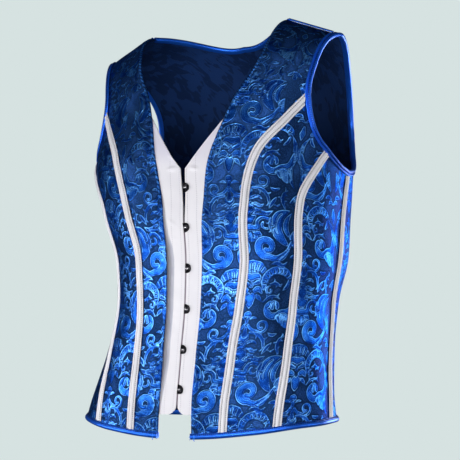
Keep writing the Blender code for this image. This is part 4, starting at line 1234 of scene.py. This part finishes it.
# %% [markdown]
# ## Writing materials as sums
#
# A material is a small calculation at every point of a surface. Wiring it by hand hides the sum, so one
# small class wraps a node's output: adding or multiplying wraps adds the Math nodes, and one method adds
# any other node. Colours stay colours by going through Mix nodes.

# %% A wire that can be added and multiplied


def linear(r, g, b):
    """Colour as light: each channel from 0 to 255 through the usual display curve, to 0 to 1."""
    c = np.array([r, g, b]) / 255
    return (*np.where(c <= 0.04045, c / 12.92, ((c + 0.055) / 1.055) ** 2.4).tolist(), 1.0)


class Wire:
    """An output of a node. Sums and products of wires add Math nodes; make adds any other node."""

    def __init__(self, tree, socket=None):
        self.tree, self.socket = tree, socket

    def make(self, kind, settings=None, inputs=None, output=0):
        """Node of a kind: its settings first, then the values or wires of its inputs; gives one output."""
        node = self.tree.nodes.new("ShaderNode" + kind)
        for key, value in (settings or {}).items():
            setattr(node, key, value)
        for key, value in (inputs or {}).items():
            if isinstance(value, Wire):
                self.tree.links.new(value.socket, node.inputs[key])
            else:
                node.inputs[key].default_value = value
        return Wire(self.tree, node.outputs[output])

    def math(self, operation, a, b=0.0):
        return self.make("Math", {"operation": operation}, {0: a, 1: b})

    def __add__(self, other):
        return self.math("ADD", self, other)

    def __mul__(self, other):
        return self.math("MULTIPLY", self, other)

    def __sub__(self, other):
        return self.math("SUBTRACT", self, other)

    def __rsub__(self, other):
        return self.math("SUBTRACT", other, self)

    def __truediv__(self, other):
        return self.math("DIVIDE", self, other)

    __radd__, __rmul__ = __add__, __mul__

    def wave(self):
        return self.math("SINE", self)

    def size(self):
        return self.math("ABSOLUTE", self)

    def part(self):
        return self.math("FRACT", self)

    def rise(self, low, high):
        """0 below low, 1 above high, and a smooth step between."""
        settings = {"interpolation_type": "SMOOTHSTEP"}
        return self.make("MapRange", settings, {"Value": self, "From Min": low, "From Max": high})

    def band(self, middle, half, soft):
        """1 within half of the middle, fading out over soft."""
        return 1 - (self - middle).size().rise(half, half + soft)

    def between(self, a, b):
        """Mix of two colours, or wires of colours, by this wire."""
        return self.make("Mix", {"data_type": "RGBA"}, {0: self, 6: a, 7: b}, 2)

    def attribute(self, name):
        return self.make("Attribute", {"attribute_name": name}, output=2)

    def parts_of(self, name):
        """The three numbers of a vector kept at the points."""
        vector = self.make("Attribute", {"attribute_name": name}, output=1)
        return [self.make("SeparateXYZ", None, {0: vector}, k) for k in range(3)]

    def mottle(self, scale, detail):
        """Soft noise from 0 to 1, mostly near the middle, in object space."""
        place = self.make("TexCoord", output=3)
        return self.make("TexNoise", None, {"Vector": place, "Scale": scale, "Detail": detail})

    def bump(self, height, distance):
        return self.make("Bump", None, {"Strength": 1.0, "Distance": distance, "Height": height})


def finish(name, constants):
    """A new material with its constants set on the shader, and the wire to build the rest from."""
    material = bpy.data.materials.new(name)
    material.use_nodes = True
    shader = material.node_tree.nodes["Principled BSDF"]
    for key, value in constants.items():
        shader.inputs[key].default_value = value
    return material, shader, Wire(material.node_tree)


def lead(wire, shader, key):
    wire.tree.links.new(wire.socket, shader.inputs[key])


print("material helpers ready")

# %% [markdown]
# ## Brocade finish
#
# Satin floats shine and the twill ground stays matt, so the figure is lighter and smoother than the
# ground. The distance that the panels carry draws each motif as woven: an outline of long floats that is
# bright in places and fades in others, two darker lines inside it where the binding points sit, and a
# middle tone that changes from leaf to leaf. Light is painted over this by the card's lean: a painted
# highlight on the outline and a bright crest on the side of each motif towards a fixed light, and painted
# shade on the side away from it. Small slanted stitches run down the turned front edge. The shine keeps
# the cloth's own blue, also where it is seen edge on, and the reverse side shows the same figure muted,
# as the back of a damask does.

# %% Brocade
EDGE_STITCH = 5.4        # mm from one stitch of the front edge to the next
NAVY, HAZE = (20, 46, 86), (40, 80, 150)
SHADOW_BLUE, MIDDLE_BLUE = (14, 58, 140), (26, 88, 192)
BRIGHT_BLUE, LIGHT_BLUE = (54, 128, 228), (110, 184, 250)
POINTS_AND_SHADE_BLUE, EDGE_BLUE, EDGE_THREAD = (12, 44, 116), (14, 38, 92), (70, 142, 238)
REVERSE_GROUND, REVERSE_FIGURE = (22, 46, 92), (16, 34, 70)
brocade_cloth, shader, w = finish("brocade", {"Specular IOR Level": 0.25,
                                              "Specular Tint": (0.2, 0.4, 0.85, 1)})
distance, shade, painted_light_slope = w.attribute("figure"), w.attribute("tone"), w.attribute("lean")
hemmed = w.attribute("hemmed")
across, up, reverse = w.parts_of("cloth")
patches, wander, streaks = w.mottle(85, 1.0) - 0.5, w.mottle(190, 2.0) - 0.5, w.mottle(850, 2.0) - 0.5
distance = distance + wander * 0.5
body = distance.rise(-0.25, 0.3)
# painted light: a fixed light direction makes one side of each motif lit and the other side shaded
lit_side, dim_side = painted_light_slope.rise(-0.1, 0.9), (0 - painted_light_slope).rise(0.0, 0.9)
# the bright outline of floats, with a painted highlight where it faces the fixed light
outline_and_highlight = body * (1 - distance.rise(0.5, 1.1)) * (0.2 + lit_side * 0.55 + patches * 2.2 + streaks * 1.2)
points_and_shade = distance.band(1.55, 0.25, 0.4) * 0.6 + distance.band(3.3, 0.2, 0.35) * 0.4
# painted shade on the side of each motif away from the light, added to the dark lines of the binding points
points_and_shade = points_and_shade + dim_side * (1 - distance.rise(1.0, 3.0)) * 0.7
threads, picks = (across * 7.9 + up * 3.1).wave(), (up * 9.3 - across * 2.2).wave()
tone_and_highlight = shade - 0.1 + patches * 1.8 + wander * 0.6 + streaks * 1.9
# painted highlight: a bright crest inside each motif on its lit side
tone_and_highlight = tone_and_highlight + lit_side * distance.band(2.4, 0.8, 1.2) * 0.35
inside = tone_and_highlight.rise(0.0, 0.6).between(linear(*SHADOW_BLUE), linear(*MIDDLE_BLUE))
inside = tone_and_highlight.rise(0.55, 1.25).between(inside, linear(*BRIGHT_BLUE))
inside = points_and_shade.between(inside, linear(*POINTS_AND_SHADE_BLUE))
inside = outline_and_highlight.between(inside, linear(*LIGHT_BLUE))
halo = distance.band(-1.0, 0.5, 0.9)
haze = (w.mottle(34, 1.0).rise(0.42, 0.62) * 0.45 + streaks * 2.2 + 0.12 + picks * 0.06) * (1 - halo * 0.8)
ground = haze.between(linear(*NAVY), linear(*HAZE))
face = body.between(ground, inside)
edge_band = hemmed.band(1.7, 1.2, 0.5) * (0.3 + up.rise(-50, -25) * 0.7)
edge_stitch = edge_band * ((up + across * 0.6) / EDGE_STITCH).part().band(0.5, 0.22, 0.15)
face = (edge_band * 0.5).between(face, linear(*EDGE_BLUE))
face = (edge_stitch * 0.7).between(face, linear(*EDGE_THREAD))
muted = body.between(linear(*REVERSE_GROUND), linear(*REVERSE_FIGURE))
lead(reverse.rise(0.4, 0.6).between(face, muted), shader, "Base Color")
lead(0.37 - body * 0.04 - outline_and_highlight * 0.02 + wander * 0.1 + reverse * 0.25, shader, "Roughness")
lead((0.8 + body * 0.15) * (1 - reverse), shader, "Metallic")
height = body * 0.6 + outline_and_highlight * 0.4 - points_and_shade * 0.4 + threads * body * 0.1 + picks * (1 - body) * 0.15
lead(w.bump(height + streaks * 0.25 + edge_stitch * 0.6, 0.00022), shader, "Normal")
for panel in panel_pieces:
    panel.data.materials.append(brocade_cloth)
print("brocade nodes", len(brocade_cloth.node_tree.nodes))

# %% [markdown]
# ## Satin finishes
#
# Satin is a smooth cloth with a soft, wide shine. The blue satin binds the edges and the white covers
# bones and busk. Both carry their own coordinates: how far along the strip, and how far round it. Those
# place the machine stitches: short dashes in a row, with darker little dimples between them, and painted
# shade darkens the stitched groove along each row. Dyed floats tint their own shine, and a share of metal
# in the shader does the same for the blue satin.

# %% Stitches, white satin and blue satin
STITCH = 2.6             # mm from one stitch to the next


def stitches(run, row):
    """Thread where a row's mask is on: dashes along the run, dark between them."""
    dash = (run / STITCH).part().band(0.5, 0.28, 0.12)
    return dash * row, (1 - dash) * row


def satin(name, light, dark, roughness, rows, narrow, shade, sheen=0.25, metal=0.0):
    """Satin for a strip: fine grain along it, rows of stitches at places round it, and a soft mottle.

    A row is the narrower the larger narrow is, and shade is how much painted shade darkens the groove along
    it."""
    material, shader, w = finish(name, {"Specular IOR Level": 0.45, "Metallic": metal, "Sheen Weight": sheen,
                                        "Sheen Roughness": 0.4})
    run, girth, loose = w.parts_of("strip")
    row = sum(((girth - place).size() * narrow).rise(0.75, 0.3) for place in rows)
    thread, hole = stitches(run, row)
    grain = (run * 5.3 + girth * 3).wave() * 0.5 + w.mottle(420, 2.0)
    soft = w.mottle(38, 2.0).rise(0.25, 0.75)
    colour = (soft * 0.35 + grain * 0.12).between(linear(*light), linear(*dark))
    # painted shade in the stitched groove of each row, and darker between the dashes
    colour = (row * shade + hole * 0.3).between(colour, linear(*(c * 0.6 for c in dark)))
    colour = (thread * 0.3).between(colour, linear(*light))
    colour = loose.between(colour, linear(*(min(255, c * 1.15 + 24) for c in light)))
    lead(colour, shader, "Base Color")
    lead(roughness + grain * 0.05 - thread * 0.05, shader, "Roughness")
    lead(w.bump(thread * 0.6 - hole * 0.8 + grain * 0.1, 0.00025), shader, "Normal")
    return material


# shade, after rows and narrow, is how strongly painted shade darkens each stitched groove
channel_satin = satin("channel_satin", (226, 225, 230), (206, 206, 214), 0.42, (0.26, 0.74), 9.0, 0.45)
binding_satin = satin("binding_satin", (30, 108, 232), (8, 56, 176), 0.34, (0.1,), 12.0, 0.75, 0.0, 0.7)
armhole_satin = satin("armhole_satin", (30, 108, 232), (8, 56, 176), 0.34, (0.3,), 9.0, 0.75, 0.0, 0.7)
piping_satin = satin("piping_satin", (30, 100, 210), (12, 60, 166), 0.36, (0.5,), 2.0, 0.3, 0.0, 0.6)
for piece in trim_pieces:
    kind = piece.name.split("_")[0]
    if kind == "placket":
        continue
    chosen = {"satin": channel_satin, "hem": binding_satin, "armhole": armhole_satin}.get(kind, piping_satin)
    piece.data.materials.append(binding_satin if kind == "back" else chosen)
print("satins", channel_satin.name, binding_satin.name, piping_satin.name)

# %% White satin of the plackets
PLACKET_ROWS_OF_STITCHES = (5.0, 17.0)   # mm from the busk line
placket_satin, shader, w = finish("placket_satin", {"Specular IOR Level": 0.42, "Sheen Weight": 0.2,
                                                    "Sheen Roughness": 0.4})
from_busk, level = w.parts_of("run")[:2]
row = sum((from_busk.size() - place).size().rise(0.7, 0.25) for place in PLACKET_ROWS_OF_STITCHES)
thread, hole = stitches(level, row)
grain = (level * 5.1 + from_busk).wave() * 0.3 + w.mottle(380, 2.0)
soft = w.mottle(30, 2.0).rise(0.25, 0.75)
colour = (soft * 0.4 + grain * 0.1).between(linear(228, 226, 231), linear(212, 210, 218))
# painted shade along each stitched row, and darker between the dashes
colour = (hole * 0.35 + row * 0.12).between(colour, linear(168, 166, 178))
# painted shade: the plackets turn greyer towards the top of the V
colour = (level.rise(-185, -150) * (0.3 + w.mottle(26, 1.0) * 0.5)).between(colour, linear(192, 189, 210))
folded = w.attribute("folded")
# painted shade on the crease where the placket folds down to the brocade
colour = (folded * (0.35 + w.mottle(60, 2.0) * 0.4)).between(colour, linear(152, 156, 178))
# painted shade: a dark line on both plackets along the slit between them
colour = (from_busk.size().rise(1.35, 0.75) * 0.85).between(colour, linear(98, 76, 96))
lead(colour, shader, "Base Color")
lead(0.4 + grain * 0.06, shader, "Roughness")
lead(w.bump(thread * 0.3 - hole * 0.6 - row * 0.3 + grain * 0.08, 0.0003), shader, "Normal")
for piece in trim_pieces:
    if piece.name.startswith("placket"):
        piece.data.materials.append(placket_satin)
print("placket satin nodes", len(placket_satin.node_tree.nodes))

# %% [markdown]
# ## Dark busk metal
#
# The loops and studs are steel with a dark, worn plating. The wear is lighter metal in scattered spots,
# and a fine scratchy roughness breaks the highlight.

# %% Busk metal


def plated(name, dark, light, roughness):
    """Plated steel: two greys mixed by worn spots, with a fine uneven polish."""
    material, shader, w = finish(name, {"Metallic": 1.0})
    worn_spots = w.mottle(900, 4.0).rise(0.5, 0.75)
    lead((worn_spots * 0.5).between(linear(*dark), linear(*light)), shader, "Base Color")
    lead(roughness + w.mottle(2400, 2.0) * 0.12, shader, "Roughness")
    lead(w.bump(w.mottle(1800, 3.0), 0.00005), shader, "Normal")
    return material


busk_metal = plated("busk_metal", (44, 42, 46), (96, 92, 96), 0.22)
stud_metal = plated("stud_metal", (150, 148, 152), (210, 208, 210), 0.2)
for piece in metal_pieces:
    piece.data.materials.append(stud_metal if "stud" in piece.name else busk_metal)
print("metals", busk_metal.name, stud_metal.name)

# %% [markdown]
# ## Sheets of cloth
#
# Each brocade panel and placket is a cut sheet, and the bindings and channels are narrow folded strips.
# The flat sizes are those that a cutter would lay out: a panel's greatest width and length along the cloth,
# a placket's reach round the body and up, and the area of one face.

# %% Flat sizes


def face_area(points):
    """Area of a grid of points: half the cross product of each cell's diagonals."""
    a, b = points[1:, 1:] - points[:-1, :-1], points[1:, :-1] - points[:-1, 1:]
    return float(np.linalg.norm(np.cross(a, b), axis=-1).sum() / 2)


flat_sizes = {}
for side, tag in TAGS.items():
    for piece in ("front", "side_front", "side", "side_back", "back"):
        grid = CUT[side]["back_piece" if piece == "back" else piece]
        points = placed(grid, side)
        widths = np.linalg.norm(np.diff(points, axis=1), axis=-1).sum(1)
        lengths = np.linalg.norm(np.diff(points, axis=0), axis=-1).sum(0)
        size = float(widths.max()), float(lengths.max())
        area = face_area(points)
        sheet = bpy.data.objects[f"brocade_{piece}_{tag}"]
        flat_sizes[sheet.name] = [round(size[0], 3), round(size[1], 3), round(area, 4)]
    grid = placket_grid(side)
    angle, rise = angle_at(grid[..., 0], grid[..., 1]), rise_of(grid[..., 1])
    size = float(np.ptp(length_round(angle, rise))) / 1000, float(np.ptp(rise))
    area = face_area(surface(angle, rise))
    flat_sizes[f"placket_satin_{tag}"] = [round(size[0], 3), round(size[1], 3), round(area, 4)]
for name, size in flat_sizes.items():
    print(name, "is cut", size[0], "x", size[1], "m, area", size[2], "m2")

# %% [markdown]
# ## Studio
#
# A pale seamless backdrop and floor, far enough not to colour the cloth. The key light is a wide strip
# at waist height, a little to the wearer's left. Satin shines only near the mirror direction, so the
# upright fronts catch it, and the shoulders, where the cloth leans back, stay dark. A weaker fill and two
# more low lights, one beside and one behind, keep the other sides readable.

# %% Backdrop, floor and lights
FLOOR_LEVEL, FLOOR_RADIUS, FLOOR_CORNERS = -1.42, 8.7, 64
BACKDROP, BELOW = 9.0, -9.6              # the dome's radius, and the degrees where it starts under the floor
VEST_MIDDLE = (-0.01, 0.0, -0.27)
PALE, FLOOR_PALE, WORLD_PALE = (214, 226, 225), (205, 216, 215), (190, 205, 225)


def dome(radius, rows=24, columns=48):
    """Sphere from a little below the floor to its top: radius and height come from one angle."""
    lift = np.linspace(math.radians(BELOW), math.pi / 2 - 0.001, rows)[:, None]
    turn = np.linspace(0, 2 * math.pi, columns + 1)[None, :-1]
    return np.stack([radius * np.cos(lift) * np.cos(turn), radius * np.cos(lift) * np.sin(turn),
                     radius * np.sin(lift) + 0 * turn], -1)


backdrop = capped("backdrop", dome(BACKDROP))
backdrop.data.flip_normals()
corners = np.arange(FLOOR_CORNERS)
turn = corners * 2 * math.pi / FLOOR_CORNERS
disc = np.stack([FLOOR_RADIUS * np.cos(turn), FLOOR_RADIUS * np.sin(turn), FLOOR_LEVEL + 0 * turn], -1)
disc = np.concatenate([disc, [[0, 0, FLOOR_LEVEL]]])
spokes = np.stack([corners, np.roll(corners, -1), np.full(FLOOR_CORNERS, FLOOR_CORNERS)], 1)
floor = made("floor", disc, spokes)

pale_backdrop = finish("pale_backdrop", {"Base Color": (0, 0, 0, 1), "Roughness": 1.0,
                                         "Specular IOR Level": 0.0, "Emission Color": linear(*PALE),
                                         "Emission Strength": 1.0})[0]
backdrop.data.materials.append(pale_backdrop)
pale_floor = finish("pale_floor", {"Base Color": linear(*FLOOR_PALE), "Roughness": 0.85,
                                   "Specular IOR Level": 0.2, "Emission Color": linear(*PALE),
                                   "Emission Strength": 0.72})[0]
floor.data.materials.append(pale_floor)
for ray in ("visible_diffuse", "visible_glossy", "visible_transmission", "visible_shadow"):
    setattr(backdrop, ray, False)
    setattr(floor, ray, False)

world = bpy.data.worlds.new("studio")
bpy.context.scene.world = world
world.use_nodes = True
world.node_tree.nodes["Background"].inputs["Color"].default_value = linear(*WORLD_PALE)
world.node_tree.nodes["Background"].inputs["Strength"].default_value = 0.07


def softbox(name, round_, up, away, width, height, power):
    """Rectangular area light facing the vest: degrees round and up, metres away, wide and high, and watts."""
    light = bpy.data.lights.new(name, "AREA")
    light.shape, light.size, light.size_y, light.energy = "RECTANGLE", width, height, power
    lamp = bpy.data.objects.new(name, light)
    right, above, back = looking(math.radians(round_), math.radians(up))
    place = np.array(VEST_MIDDLE) + np.array(back) * away
    lamp.matrix_world = Matrix([*zip(right, above, back, place), (0, 0, 0, 1)])
    bpy.context.scene.collection.objects.link(lamp)


softbox("key_softbox", 13, -8, 2.4, 2.6, 0.4, 54)
softbox("fill_softbox", -54, -8, 2.4, 1.4, 0.5, 28)
softbox("side_softbox", 90, -6, 2.4, 1.6, 0.6, 11)
softbox("back_softbox", 152, -4, 2.4, 1.1, 0.9, 32)
print("stage and lights set")
